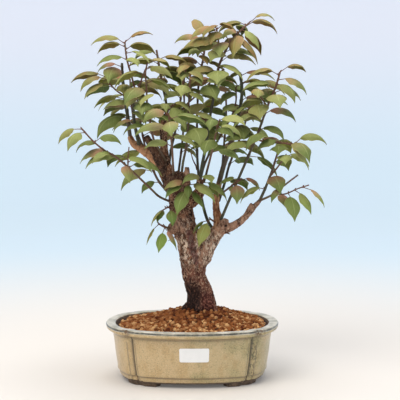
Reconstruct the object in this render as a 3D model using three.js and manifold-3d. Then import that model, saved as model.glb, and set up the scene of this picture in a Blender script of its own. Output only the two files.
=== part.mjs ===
// A Japanese apricot grown as a bonsai, in leaf, about half a metre tall.
// An old trunk forks above its foot into two limbs, cut back hard, and straight young shoots stand on them.
// Each shoot carries drooping, pointed leaves on short stalks, set round the stem one after another.
// The tree stands in clay granules in a glazed pot with four lobes, four low feet and two drain holes.
// Millimetres, +Z up, the pot's front towards -Y, and the origin under the pot's middle, on the table.

import * as THREE from "three";
import { mergeVertices } from "three/addons/utils/BufferGeometryUtils.js";
import Module from "manifold-3d";

const wasm = await Module();
wasm.setup();

// Driving dimensions
const POT_LENGTH = 240;
const POT_WIDTH = 180;
const POT_HEIGHT = 79;
const FOOT_HEIGHT = 5;
const FLOOR_TOP = 12;
const SOIL_EDGE = 74.5;
const MOUND_HEIGHT = 20;
const MOUND_SPREAD = 56;
const LABEL = { width: 39, height: 19, thickness: 0.5, middle: 47.5, across: 3 };
const DRAIN = { radius: 9, offset: 42 };
const SCREEN = { side: 27, thickness: 1.2, hole: 5.4, pitch: 8, holes: 3 };
const GAP = 0.35;
const LEAF_LENGTH = 52;
const LEAF_WIDTH = 0.58;
const LEAF_THICKNESS = 1.2;
const STALK_LENGTH = 10;
const STALK_THICKNESS = 1.1;

// The tree is read off a squared drawing of its front, with depths in mm behind the pot's middle.
// The drawing is in perspective: EYE sees it, looking down a little, and a square is that wide a metre away.
const EYE = new THREE.Vector3(10.8, -1500, 377.8);
const LOOK_DOWN = THREE.MathUtils.degToRad(4.95);
const SQUARE = 0.918 / 1000;
const DRAWING_MIDDLE = { x: 8, z: 173 };

const COLOURS = {
  bark: { color: 0x5a4033, roughness: 0.9 },
  shoot: { color: 0x6f7f3a, roughness: 0.55 },
  glaze: { color: 0xa99a72, roughness: 0.25 },
  soil: { color: 0xa5673a, roughness: 0.95 },
  paper: { color: 0xf2f1ef, roughness: 0.7 },
  mesh: { color: 0x2b2d2c, roughness: 0.6 },
};

// Small tools

function material(name) {
  return new THREE.MeshStandardMaterial({ ...COLOURS[name], metalness: 0 });
}

// Repeatable random numbers from 0 to 1, by the minimal standard generator.
function draws(seed) {
  let state = seed;
  return () => {
    state = (state * 16807) % 2147483647;
    return state / 2147483647;
  };
}

function solidOf(geometry) {
  const bare = new THREE.BufferGeometry();
  bare.setAttribute("position", geometry.getAttribute("position"));
  bare.setIndex(geometry.index);
  const merged = mergeVertices(bare, 1e-4);
  return new wasm.Manifold(
    new wasm.Mesh({
      numProp: 3,
      vertProperties: merged.attributes.position.array,
      triVerts: new Uint32Array(merged.index.array),
    }),
  );
}

function joined(solids) {
  return solids.reduce((whole, next) => whole.add(next));
}

function largestBody(solid) {
  return solid.decompose().reduce((a, b) => (b.volume() > a.volume() ? b : a));
}

function meshOf(name, solid, look) {
  const { vertProperties, triVerts } = solid.getMesh();
  const geometry = new THREE.BufferGeometry();
  geometry.setAttribute("position", new THREE.BufferAttribute(vertProperties, 3));
  geometry.setIndex(new THREE.BufferAttribute(triVerts, 1));
  geometry.computeVertexNormals();
  const mesh = new THREE.Mesh(geometry, material(look));
  mesh.name = name;
  return mesh;
}

// Moves every vertex of an upright closed shape, 1 high and 1 in radius, to where rule puts it.
// rule gets the share of the way up, and the direction round the axis as (side, front), both 0 on the axis.
function bent(geometry, rule) {
  const place = geometry.getAttribute("position");
  for (let i = 0; i < place.count; i++) {
    const side = place.getX(i);
    const front = place.getZ(i);
    const size = Math.hypot(side, front);
    const unit = size > 1e-9 ? 1 / size : 0;
    const spot = rule(place.getY(i) + 0.5, side * unit, front * unit);
    place.setXYZ(i, spot.x, spot.y, spot.z);
  }
  return geometry;
}

// The pot's plan

const HALF_LENGTH = POT_LENGTH / 2;
const HALF_WIDTH = POT_WIDTH / 2;
const KINK = { x: 93, y: 68 };
const KINK_ANGLE = Math.atan2(KINK.y, KINK.x);
const NOTCH_DEPTH = 5;
const NOTCH_SPREAD = 0.06;

// Inside this radius the plan closes evenly on the axis.
const CORE = 60;

function arcRadius(halfChord, rise) {
  return (halfChord ** 2 + rise ** 2) / (2 * rise);
}

const SIDE_RADIUS = arcRadius(KINK.x, HALF_WIDTH - KINK.y);
const END_RADIUS = arcRadius(KINK.y, HALF_LENGTH - KINK.x);

// How far the rim reaches from the pot's axis in a direction, given as an angle in the first quarter.
function rimReach(angle) {
  const c = Math.cos(angle);
  const s = Math.sin(angle);
  const onSide = angle > KINK_ANGLE;
  const cx = onSide ? 0 : HALF_LENGTH - END_RADIUS;
  const cy = onSide ? HALF_WIDTH - SIDE_RADIUS : 0;
  const radius = onSide ? SIDE_RADIUS : END_RADIUS;
  const along = c * cx + s * cy;
  const reach = along + Math.sqrt(radius ** 2 - cx ** 2 - cy ** 2 + along ** 2);
  return reach - NOTCH_DEPTH * Math.exp(-(((angle - KINK_ANGLE) / NOTCH_SPREAD) ** 2));
}

function inFirstQuarter(angle) {
  return Math.atan2(Math.abs(Math.sin(angle)), Math.abs(Math.cos(angle)));
}

// A point of the pot at a turn round its axis. radius is what it would be on the pot's long axis.
function potPoint(angle, radius, z) {
  const reach = rimReach(inFirstQuarter(angle));
  const inset = HALF_LENGTH - Math.max(radius, CORE);
  const r = (reach - inset) * Math.min(radius / CORE, 1);
  return new THREE.Vector3(r * Math.cos(angle), r * Math.sin(angle), z);
}

// Crowds the turns of a lathe towards the four notches, where the plan bends most.
const CROWDING = 0.2;

function crowded(angle) {
  const quarter = inFirstQuarter(angle);
  const shift = CROWDING * Math.sin(4 * (quarter - KINK_ANGLE)) * Math.sin(2 * quarter);
  const sign = Math.sin(angle) * Math.cos(angle) >= 0 ? 1 : -1;
  return angle - sign * shift;
}

// Turns a profile of [radius, z] round the axis and squares it up to the pot's plan.
function potLathe(profile, segments, relief = () => 0) {
  const points = profile.map(([radius, z]) => new THREE.Vector2(radius, z));
  const geometry = new THREE.LatheGeometry(points, segments);
  const place = geometry.getAttribute("position");
  for (let i = 0; i < place.count; i++) {
    const radius = Math.hypot(place.getX(i), place.getZ(i));
    const angle = crowded(Math.atan2(-place.getZ(i), place.getX(i)));
    const spot = potPoint(angle, radius, place.getY(i));
    place.setXYZ(i, spot.x, spot.y, spot.z + relief(spot, radius));
  }
  return geometry;
}

// The pot

const FACE = [
  [97, FOOT_HEIGHT],
  [100.8, 8.5],
  [102.2, 14.5],
  [103.8, 16],
  [107, 38],
  [110.4, 69],
];
const RIM = [
  [119.2, 71.8],
  [120, 76.2],
  [118, POT_HEIGHT],
  [106, POT_HEIGHT],
];
const INSIDE = [
  [103, 68],
  [98, 20],
  [92, FLOOR_TOP],
];
const POT_TURNS = 48;

// A foot follows the notch it stands under: its span round the axis, its place and depth as radii,
// how much narrower its sole is all round, and how far it reaches into the body.
const FOOT = { span: 0.5, middle: 89.5, depth: 14, taper: 1.5, sunk: 2 };

function foot(quadrantX, quadrantY) {
  const block = new THREE.BoxGeometry(1, 1, 1, 6, 1, 1);
  const place = block.getAttribute("position");
  for (let i = 0; i < place.count; i++) {
    const angle = KINK_ANGLE + place.getX(i) * FOOT.span;
    const taper = place.getZ(i) > 0 ? 0 : FOOT.taper * Math.sign(place.getY(i));
    const radius = FOOT.middle + place.getY(i) * FOOT.depth - taper;
    const z = place.getZ(i) > 0 ? FOOT_HEIGHT + FOOT.sunk : 0;
    const spot = potPoint(angle, radius, z);
    place.setXYZ(i, spot.x * quadrantX, spot.y * quadrantY, spot.z);
  }
  const made = solidOf(block);
  return made.volume() < 0 ? solidOf(flipped(block)) : made;
}

function flipped(geometry) {
  const order = geometry.index.array;
  for (let i = 0; i < order.length; i += 3) {
    [order[i + 1], order[i + 2]] = [order[i + 2], order[i + 1]];
  }
  return geometry;
}

function uprightCylinder(x, radius, bottom, top) {
  const geometry = new THREE.CylinderGeometry(radius, radius, top - bottom, 16);
  return solidOf(geometry.rotateX(Math.PI / 2).translate(x, 0, (bottom + top) / 2));
}

function pot() {
  const profile = [[0, FOOT_HEIGHT], ...FACE, ...RIM, ...INSIDE, [0, FLOOR_TOP]];
  let body = solidOf(potLathe(profile, POT_TURNS));
  for (const [x, y] of [[1, 1], [1, -1], [-1, 1], [-1, -1]]) body = body.add(foot(x, y));
  for (const x of [-DRAIN.offset, DRAIN.offset]) {
    body = body.subtract(uprightCylinder(x, DRAIN.radius, 0, FLOOR_TOP + 1));
  }
  return body;
}

// How wide the pot's outer face is at a height, as a radius on the long axis.
function faceRadius(z) {
  const above = FACE.findIndex(([, height]) => height >= z);
  const [r0, z0] = FACE[above - 1];
  const [r1, z1] = FACE[above];
  return r0 + ((r1 - r0) * (z - z0)) / (z1 - z0);
}

// A blank stock label, stuck on the middle of the pot's front.
function label() {
  const away = HALF_WIDTH - HALF_LENGTH + faceRadius(LABEL.middle);
  const sheet = new THREE.BoxGeometry(LABEL.width, LABEL.thickness, LABEL.height, 6, 1, 1);
  const place = sheet.getAttribute("position");
  for (let i = 0; i < place.count; i++) {
    const z = LABEL.middle + place.getZ(i);
    const angle = -Math.PI / 2 + (LABEL.across + place.getX(i)) / away;
    const out = GAP + LABEL.thickness / 2 - place.getY(i);
    const spot = potPoint(angle, faceRadius(z) + out, z);
    place.setXYZ(i, spot.x, spot.y, spot.z);
  }
  return solidOf(sheet);
}

// A square of plastic mesh over a drain hole, on the pot's floor.
function screen(x) {
  const bottom = FLOOR_TOP + GAP;
  const plate = new THREE.BoxGeometry(SCREEN.side, SCREEN.side, SCREEN.thickness);
  let made = solidOf(plate.translate(x, 0, bottom + SCREEN.thickness / 2));
  const first = (-SCREEN.pitch * (SCREEN.holes - 1)) / 2;
  for (let i = 0; i < SCREEN.holes; i++) {
    for (let j = 0; j < SCREEN.holes; j++) {
      const hole = new THREE.BoxGeometry(SCREEN.hole, SCREEN.hole, 4 * SCREEN.thickness);
      hole.translate(x + first + i * SCREEN.pitch, first + j * SCREEN.pitch, bottom);
      made = made.subtract(solidOf(hole));
    }
  }
  return made;
}

// The tree's wood

// Where the eye's line of sight through a square of the drawing meets the upright plane at a depth.
function seen([x, z, depth]) {
  const right = (x - DRAWING_MIDDLE.x) * SQUARE;
  const up = (z - DRAWING_MIDDLE.z) * SQUARE;
  const down = Math.sin(LOOK_DOWN);
  const ahead = Math.cos(LOOK_DOWN);
  const sight = new THREE.Vector3(right, ahead + up * down, up * ahead - down);
  return EYE.clone().addScaledVector(sight, (depth - EYE.y) / sight.y);
}

function curveThrough(path) {
  return new THREE.CatmullRomCurve3(path.map(seen), false, "catmullrom", 0.5);
}

// The value at a share of the way along a list of values.
function along(values, share) {
  const place = share * (values.length - 1);
  const before = Math.min(Math.floor(place), values.length - 2);
  return values[before] + (values[before + 1] - values[before]) * (place - before);
}

// A limb or stem: a round bar bent along a curve, with its radius in mm at each point of the path.
// growth adds to the radius, and bark gives the relief of old bark as a share of it.
function limb({ path, radius, sides = 4, rows = path.length - 1, bark = 0 }, growth = 0) {
  const curve = curveThrough(path);
  const start = curve.getPoint(0);
  const run = curve.getPoint(1).sub(start).normalize();
  const across = Math.abs(run.y) < 0.7 ? new THREE.Vector3(0, 1, 0) : new THREE.Vector3(1, 0, 0);
  const bar = new THREE.CylinderGeometry(1, 1, 1, sides, rows);
  return solidOf(
    bent(bar, (share, side, front) => {
      const forward = curve.getTangent(share);
      const left = across.clone().cross(forward).normalize();
      const up = left.clone().cross(forward);
      const turn = Math.atan2(side, front);
      const ridges =
        Math.sin(5 * turn + 9 * share) * 0.5 +
        Math.sin(3 * turn - 21 * share + 1) * 0.6 +
        Math.sin(7 * turn + 34 * share) * 0.4;
      const r = along(radius, share) * (1 + bark * ridges) + growth;
      return curve
        .getPoint(share)
        .addScaledVector(left, side * r)
        .addScaledVector(up, front * r);
    }),
  );
}

// Old wood: the trunk, its two limbs, what is left of cut branches, and the roots at its foot.
const TRUNK_DEPTH = 22;
const WOOD = [
  {
    path: [
      [9, 52, TRUNK_DEPTH], [9.5, 63, TRUNK_DEPTH], [9.2, 71, TRUNK_DEPTH], [7.8, 79, TRUNK_DEPTH],
      [5, 88, TRUNK_DEPTH], [2.6, 98, 22], [2, 106, 21], [0.5, 116, 20], [-2, 126, 19], [-4, 136, 18],
      [-7.5, 146, 18], [-10.5, 156, 17], [-11, 166, 16], [-12, 176, 15], [-16, 186, 15], [-22, 195, 15],
      [-27, 204, 15],
    ],
    radius: [
      21, 21, 20, 18.5, 17, 16.3, 16.8, 18, 17.5, 16.5, 17, 16.5, 16.5, 16, 14.5, 12.5, 9.5,
    ],
    sides: 12,
    rows: 20,
    bark: 0.06,
  },
  // The right limb, out to its fork
  {
    path: [[6, 110, 20], [12, 119, 18], [17, 128, 16], [22, 137, 14], [28, 144, 12], [34, 146, 9]],
    radius: [12, 12.5, 11.5, 10.5, 9.5, 6],
    sides: 10,
    bark: 0.06,
  },
  {
    path: [[29, 144, 12], [36, 145, 8], [45, 149, 2], [54, 157, -3], [63, 167, -7], [70, 175, -10]],
    radius: [7, 5.8, 5.2, 4.6, 3.6, 2.6],
    sides: 8,
    bark: 0.04,
  },
  { path: [[54, 157, -3], [57, 164, -6], [60, 169, -8]], radius: [3.6, 3.2, 2.8], bark: 0.04 },
  {
    path: [[27, 143, 13], [26, 155, 17], [24, 168, 20], [25, 180, 22], [27, 190, 22]],
    radius: [8, 6.4, 5, 4.6, 4],
    sides: 8,
    bark: 0.04,
  },
  { path: [[30, 146, 10], [33, 150, 4], [34, 154, 3]], radius: [6, 5.2, 3.6], bark: 0.06 },
  // The left limb, red-brown, and the smooth one beside it
  {
    path: [[-25, 199, 15], [-33, 211, 17], [-43, 219, 21], [-52, 225, 25], [-59, 230, 28], [-62, 237, 30]],
    radius: [10, 7.8, 6.6, 5.8, 5, 3.8],
    sides: 8,
    bark: 0.05,
  },
  {
    path: [
      [-22, 196, 12], [-26, 210, 11], [-28, 226, 12], [-28.5, 241, 13], [-28, 251, 14], [-26.5, 259, 15],
    ],
    radius: [8.5, 6.6, 5.6, 5.2, 4.7, 4],
    sides: 8,
    bark: 0.03,
  },
  // Dead stubs and the knob round an old cut
  {
    path: [[-28, 202, 8], [-34, 215, 3], [-40, 226, 2], [-46, 237, 4]],
    radius: [7.5, 6.6, 5.8, 4.4],
    sides: 8,
    bark: 0.1,
  },
  { path: [[-22, 192, 8], [-14, 195, 2], [-8, 196, 2]], radius: [10, 10, 6.5], sides: 9, bark: 0.09 },
  { path: [[-6, 188, 6], [-5, 198, 3], [-5, 206, 2]], radius: [6, 4.2, 3.4], sides: 7, bark: 0.06 },
  {
    path: [[-8, 168, 14], [1, 174, 10], [7, 181, 8], [8, 193, 9]],
    radius: [11, 10, 7.5, 4.6],
    sides: 8,
    bark: 0.05,
  },
  { path: [[-12, 150, 14], [-19, 145, 8], [-22, 142, 6]], radius: [9, 7.5, 4.5], sides: 8, bark: 0.08 },
  // Roots
  { path: [[5, 72, 20], [-5, 67, 16], [-9, 62, 13]], radius: [9, 4.6, 3] },
  { path: [[10, 72, 16], [7, 66, 3], [5, 61, -2]], radius: [9, 6, 3.6] },
  { path: [[13, 72, 18], [20, 67, 8], [24, 61, 4]], radius: [10, 5.5, 3.4] },
  { path: [[12, 72, 26], [22, 66, 38], [27, 60, 42]], radius: [9, 5, 3] },
  { path: [[6, 72, 28], [-3, 66, 40], [-7, 60, 44]], radius: [9, 5, 3] },
];

// Young shoots, one node each. A stem has a path, its radius at both ends in mm, and its leaves.
// A leaf is [share of the way up the stem, compass heading, hang]: heading 0 is right and 90 is back,
// and hang, in degrees, is how much lower than most the leaf points.
const SHOOTS = {
  left_long: [
    {
      path: [
        [-18, 170, 16], [-32, 176, 4], [-41, 184, -8], [-62, 204, -22], [-76, 216, -32], [-88, 223, -38],
        [-99, 232, -43], [-110, 244, -48],
      ],
      radius: [1.8, 1.1],
      leaves: [
        [1, 178, 30], [0.96, 205, 25], [0.84, -15], [0.72, 186], [0.66, 165], [0.6, 200], [0.52, 182],
        [0.48, -70, 45, 0.65], [0.44, -5],
      ],
    },
    {
      path: [[-64, 206, -23], [-64, 214, -20], [-63, 226, -16]],
      radius: [1.1, 0.9],
      leaves: [[0.45, 172], [0.3, 8]],
    },
  ],
  top_right: [
    {
      path: [
        [7, 188, 9], [10, 207, 10], [13.5, 225, 12], [16, 243, 12], [18.5, 259, 12], [21.5, 275, 13],
        [23.5, 289, 15], [27, 307, 17], [32, 319, 18], [39, 332, 20], [47, 341, 20], [57, 350, 20],
      ],
      radius: [2.6, 1.1],
      leaves: [
        [1, -2, -10], [0.975, 178, -5], [0.955, -8, 8], [0.93, -35, 30], [0.915, 20, 35], [0.9, 190],
        [0.88, -95, 40], [0.85, -30, 30], [0.82, 165], [0.78, 200], [0.74, 10], [0.69, 150], [0.62, -50],
        [0.55, 195], [0.47, 15], [0.4, 160], [0.32, -20], [0.94, 165, 5, 0.9], [0.87, 210, 5], [0.835, 195],
        [0.8, -20, 5], [0.76, 180], [0.72, -110], [0.66, 20], [0.6, 170], [0.52, -40],
      ],
    },
    {
      path: [[31, 318, 17], [27, 330, 8], [24.5, 345, 2]],
      radius: [1.2, 1],
      leaves: [
        [1, 176], [0.9, 215, 10], [0.7, -20], [0.5, 190], [0.95, 15, 5, 0.8], [0.8, 150, 0, 0.8],
        [0.4, -120, 20],
      ],
    },
  ],
  far_right: [
    {
      path: [
        [28, 151, 12], [39, 177, 4], [49, 200, -2], [59, 223, -6], [66, 240, -8], [72, 257, -10],
        [78, 273, -12], [84, 287, -14], [88, 301, -16],
      ],
      radius: [2.2, 1.3],
      leaves: [
        [1, 15, -15], [0.97, 176, -8], [0.93, -12, 5], [0.89, -45, 30], [0.85, 200], [0.81, 5], [0.76, -75],
        [0.7, 165], [0.64, -10], [0.58, 205], [0.52, -35], [0.46, 175], [0.4, 190], [0.34, -15, 20],
      ],
    },
    {
      path: [[75, 267, -11], [68, 277, -20], [62, 284, -26]],
      radius: [1.2, 1],
      leaves: [[1, 195], [0.8, -85], [0.6, -15]],
    },
    {
      path: [[63, 234, -7], [74, 231, -22], [88, 230, -34], [102, 229, -44]],
      radius: [1.4, 1],
      leaves: [
        [1, -5, -12], [0.92, -60, 30], [0.82, -20, 38], [0.7, 150, 5], [0.55, -70], [0.42, 20], [0.3, -120],
      ],
    },
  ],
  right_tip: [
    {
      path: [[68, 173, -9], [73, 184, -12], [77, 194, -14], [81, 205, -16], [84, 215, -18], [87, 224, -20]],
      radius: [2.2, 1.3],
      leaves: [[0.2, 195, 15], [0.42, -8, 10], [0.7, 120], [0.9, -60]],
    },
    {
      path: [[78.5, 197, -15], [85, 205, -22], [90, 212, -27], [93, 217, -30]],
      radius: [1.3, 1.1],
      leaves: [[1, -10], [0.8, -90]],
    },
  ],
  right_low: [
    {
      path: [[67, 172, -10], [80, 178, -20], [89, 185, -26], [98, 192, -32], [106, 198, -36]],
      radius: [1.7, 1.1],
      leaves: [[0.5, -110, 45, 0.7]],
    },
    {
      path: [[81, 179, -21], [93, 179, -30], [105, 184, -36], [117, 188, -42]],
      radius: [1.1, 0.9],
      leaves: [[0.22, 70, 30, 0.8], [0.42, -75, 50, 0.75], [0.6, -45, 48, 0.7], [0.82, -20, 35, 0.85]],
    },
  ],
  left_tall: [
    {
      path: [
        [-61.5, 234, 29.5], [-63.5, 249, 28], [-65, 262, 26], [-67, 275, 24], [-68.5, 287, 22],
        [-69.5, 299, 20], [-70, 310, 18],
      ],
      radius: [3, 1.8],
      leaves: [
        [0.94, 178, -5], [0.86, 215], [0.8, 10], [0.7, 140], [0.6, -60], [0.48, 178, 5], [0.34, 130],
        [0.24, 205, 25], [0.16, -50],
      ],
    },
    {
      path: [[-67.5, 277, 24], [-75, 282, 16], [-82, 289, 10], [-86, 296, 6]],
      radius: [1.2, 1],
      leaves: [[1, 176, -5], [0.86, 200, 10], [0.66, 215, 15], [0.5, 150], [0.4, -70, 10]],
    },
  ],
  left_second: [
    {
      path: [
        [-52, 224, 24], [-55.5, 239, 18], [-57.5, 251, 15], [-58.5, 263, 13], [-58.5, 274, 12],
        [-57, 285, 12],
      ],
      radius: [2.6, 1.6],
      leaves: [[0.35, 215], [0.5, -35], [0.66, 160], [0.78, -95], [0.9, 30]],
    },
    {
      path: [[-57, 284, 12], [-61, 299, 6], [-65, 313, 2], [-66.5, 323, 0], [-67, 331, -2]],
      radius: [1.5, 1],
      leaves: [
        [1, 12, -30], [0.94, 176, -12], [0.84, 186], [0.76, 4, -5], [0.66, -25], [0.5, 200], [0.36, -70],
      ],
    },
    {
      path: [[-58.3, 276, 12], [-54, 284, 15], [-51, 292, 17], [-47, 303, 19]],
      radius: [1.3, 1],
      leaves: [[1, 10], [0.85, 160], [0.65, -30], [0.45, 110]],
    },
  ],
  left_inner: [
    {
      path: [
        [-26, 212, 4], [-32, 222, -7], [-38, 233, -9], [-41, 245, -9], [-43, 258, -9], [-45, 271, -9],
        [-45.5, 285, -9], [-46.5, 299, -9], [-45, 309, -9],
      ],
      radius: [1.8, 1.1],
      leaves: [
        [0.34, 170], [0.46, -15], [0.55, 195], [0.64, -80], [0.72, 160], [0.79, -10], [0.86, 205], [0.93, -50],
        [1, 170],
      ],
    },
  ],
  left_rear: [
    {
      path: [
        [-22, 178, 26], [-34, 193, 40], [-41, 209, 46], [-47, 227, 50], [-51, 247, 50], [-52.5, 263, 48],
        [-55, 275, 46],
      ],
      radius: [1.9, 1.2],
      leaves: [
        [0.14, 195, 10, 0.7], [0.26, 195, 10], [0.44, 165], [0.58, -10], [0.7, 190], [0.82, 60],
        [0.92, 150], [1, 220],
      ],
    },
  ],
  centre_cut: [
    {
      path: [
        [-26.3, 256, 15], [-26, 271, 18], [-29, 285, 20], [-31.5, 299, 22], [-33.5, 311, 24],
        [-35.5, 323, 26],
      ],
      radius: [2, 1.5],
      leaves: [[0.4, -35], [0.5, 155], [0.6, 25], [0.68, -95], [0.76, 195], [0.84, 5], [0.9, 140]],
    },
  ],
  limb_top: [
    {
      path: [[-26.5, 256, 12], [-24, 262, 2], [-20, 267, -6]],
      radius: [1.5, 1.1],
      leaves: [[1, -25, 10], [0.85, 190, 5], [0.7, -75, 15], [0.5, -140], [0.4, 10]],
    },
  ],
  centre: [
    {
      path: [
        [-23, 207, 17], [-21, 223, 27], [-17.5, 238, 30], [-14.5, 253, 30], [-12.5, 267, 30], [-10, 281, 30],
        [-7.5, 295, 28], [-6, 304, 26],
      ],
      radius: [2, 1.2],
      leaves: [
        [0.36, -45], [0.44, 165], [0.54, 20], [0.64, 200], [0.72, -60], [0.8, 110], [0.87, -15], [0.92, 190],
        [0.96, -100], [1, 40],
      ],
    },
    {
      path: [[-13.8, 258, 30], [-6, 268, 23], [4, 277, 15], [15, 287, 6], [24, 297, 0], [32, 304, -5]],
      radius: [1.4, 1.1],
      leaves: [[0.5, 60], [0.64, -70], [0.76, 165], [0.88, -15], [1, 5, -10]],
    },
  ],
  centre_right: [
    {
      path: [
        [-11, 192, 4], [-9, 210, 1], [-6, 225, 0], [-4, 243, -3], [-3.5, 259, -5], [-3, 275, -5],
        [-2, 290, -5], [-2, 301, -5],
      ],
      radius: [2, 1.1],
      leaves: [
        [0.3, -50], [0.4, 185], [0.48, 5], [0.56, -110], [0.64, 175], [0.72, -20], [0.8, 205], [0.88, -65],
        [0.94, 15], [1, 180],
      ],
    },
  ],
  middle_tall: [
    {
      path: [
        [23, 141, 15], [16, 152, 24], [11.5, 166, 34], [8, 185, 40], [6, 205, 42], [5, 225, 42],
        [5, 247, 42], [5.5, 267, 42],
        [6.5, 287, 42], [9, 303, 42], [12, 319, 42], [13.5, 334, 42],
      ],
      radius: [2.5, 1.1],
      leaves: [
        [0.44, 150], [0.52, -25], [0.6, 205], [0.67, 35], [0.73, 120], [0.79, -60], [0.84, 185], [0.88, 0],
        [0.92, 170], [0.96, -20], [0.98, 190, -5], [1, 120, -45], [0.99, -10, -5, 0.9], [0.94, 60],
        [0.9, -150], [0.86, 30], [0.81, -120], [0.76, 10],
      ],
    },
  ],
  right_slender: [
    {
      path: [
        [7, 186, 10], [12, 207, 26], [19, 222, 30], [28, 236, 33], [36, 250, 35], [41, 260, 36],
        [44, 272, 36], [44, 286, 34],
      ],
      radius: [1.9, 1.1],
      leaves: [[0.36, 190], [0.48, -25], [0.6, 120], [0.7, 205], [0.8, 20], [0.9, 160], [1, -70]],
    },
  ],
  right_main: [
    {
      path: [
        [26.5, 188, 22], [31, 205, 20], [36, 220, 18], [39, 230, 17], [42, 242, 16], [46, 256, 15], [49, 270, 14],
        [50, 284, 13], [48.5, 297, 12],
      ],
      radius: [4, 2],
      leaves: [
        [0.3, 190], [0.37, -20, 8], [0.45, 170], [0.53, -70], [0.61, 15], [0.69, 200], [0.77, -40], [0.85, 150],
        [0.92, 5], [0.97, 195], [1, -60],
      ],
    },
    {
      path: [[44.5, 251, 15], [53, 258, 4], [60, 265, -6]],
      radius: [1.4, 1],
      leaves: [[1, -12], [0.85, -75], [0.6, 175]],
    },
    {
      path: [[40.5, 237, 16], [30, 244, 2], [18, 250, -10], [10, 255, -18]],
      radius: [1.2, 1],
      leaves: [[1, 188], [0.85, -80], [0.62, -35], [0.45, 200]],
    },
  ],
  right_rear: [
    {
      path: [
        [27, 172, 24], [33, 191, 42], [37, 207, 48], [44, 225, 52], [51, 243, 54], [56, 261, 54],
        [60, 277, 52], [62, 288, 50],
      ],
      radius: [2.1, 1.2],
      leaves: [[0.3, 30], [0.44, 170], [0.57, -20], [0.69, 110], [0.8, 0], [0.9, 80], [1, -20]],
    },
  ],
  left_burl: [
    {
      path: [[-19, 144, 8], [-27, 146, -3], [-33, 149, -8]],
      radius: [1.9, 1.2],
      leaves: [[0.5, -115, 55, 0.8], [0.68, -70, 60, 0.7], [1, 200, 60, 0.6]],
    },
  ],
  trunk_front: [
    {
      path: [[-6, 176, 8], [-4, 184, -7], [-2, 190, -13]],
      radius: [1.6, 1.1],
      leaves: [
        [1, 190, 5], [0.85, -30, 10], [0.75, 205, 20, 0.8], [0.62, -120, 48, 0.75], [0.5, -160, 40, 0.8],
        [0.95, -80, 40, 0.6], [0.7, 150, 10, 0.7],
      ],
    },
  ],
  trunk_left: [
    {
      path: [[-15, 168, 8], [-22, 166, -6], [-26, 165, -10]],
      radius: [1.5, 1.1],
      leaves: [[1, 200, 55, 0.85], [0.75, 165, 45, 0.65], [0.6, -75, 55, 0.7]],
    },
  ],
  fork_front: [
    {
      path: [[6, 181, 6], [9, 187, -6], [11, 193, -10]],
      radius: [1.5, 1.1],
      leaves: [
        [1, -20, 5], [0.8, -5, 22], [0.6, -75, 45, 0.75], [0.9, 100], [0.7, -150, 30, 0.65],
        [0.45, 30, 10, 0.7],
      ],
    },
  ],
  branch_leaf: [
    {
      path: [[24, 150, 14], [20, 153, 2], [18, 154, -3]],
      radius: [1.5, 1.1],
      leaves: [[1, -125, 55, 1.15], [0.7, 165, 35, 0.5]],
    },
  ],
  right_inner: [
    {
      path: [[25, 176, 20], [33, 182, 4], [41, 188, -6], [48, 193, -12]],
      radius: [1.6, 1.1],
      leaves: [[1, -15, 20], [0.9, 160], [0.75, -70, 20], [0.6, 20], [0.45, -120]],
    },
  ],
  back_left: [
    {
      path: [[-44, 219, 24], [-52, 233, 38], [-58, 252, 54], [-61, 274, 62], [-62, 294, 66]],
      radius: [1.9, 1.2],
      leaves: [[0.38, 120], [0.54, 200], [0.66, 60], [0.78, 170], [0.89, 30], [1, 130]],
    },
  ],
  back_centre: [
    {
      path: [[-15, 184, 24], [-13, 204, 52], [-10, 228, 63], [-8, 254, 68], [-8, 278, 70], [-10, 296, 70]],
      radius: [2, 1.2],
      leaves: [[0.34, 60], [0.46, 140], [0.58, 10], [0.69, 190], [0.79, 80], [0.89, -20], [1, 140]],
    },
  ],
  back_right: [
    {
      path: [[26, 184, 25], [30, 204, 53], [32, 228, 65], [34, 252, 70], [34, 274, 71], [32, 290, 71]],
      radius: [2, 1.2],
      leaves: [[0.34, 20], [0.46, 130], [0.58, 60], [0.69, -10], [0.79, 160], [0.9, 0], [1, 80]],
    },
  ],
  front_left: [
    {
      path: [[-18, 195, 4], [-19, 208, -30], [-20, 226, -54], [-22, 244, -71], [-23, 258, -83]],
      radius: [1.8, 1.1],
      leaves: [[0.5, -160], [0.62, -40], [0.74, 190], [0.84, -90], [0.92, -10], [1, -140]],
    },
  ],
  front_right: [
    {
      path: [[12, 191, 7], [16, 206, -28], [20, 222, -53], [24, 240, -72], [27, 252, -84]],
      radius: [1.8, 1.1],
      leaves: [[0.48, -20], [0.6, -150], [0.72, -60], [0.82, 10], [0.92, -115], [1, -45]],
    },
  ],
};

// The leaves

const STEM_STEP = 4;
const LEAF_CLEARANCE = 4.6;
const SAME_SHOOT_CLEARANCE = 3.6;
const STEM_CLEARANCE = 3;
const TURNS_TO_TRY = [0, 14, -14, 28, -28, 45, -45, 62, -62, 82, -82, 105, -105, 130, -130];
const SIZES_TO_TRY = [1, 0.82, 0.66];

function radians(degrees) {
  return (degrees * Math.PI) / 180;
}

function direction(heading, lift) {
  const flat = Math.cos(radians(lift));
  return new THREE.Vector3(
    flat * Math.cos(radians(heading)),
    flat * Math.sin(radians(heading)),
    Math.sin(radians(lift)),
  );
}

// Half the blade's width at a share of its length, for a blade 1 wide: broad below the middle, with a
// drawn-out tip.
function halfWidth(share) {
  return 0.5 * Math.sin(Math.PI * share ** 0.72) ** 0.8 * (1 - 0.35 * share ** 3);
}

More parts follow.
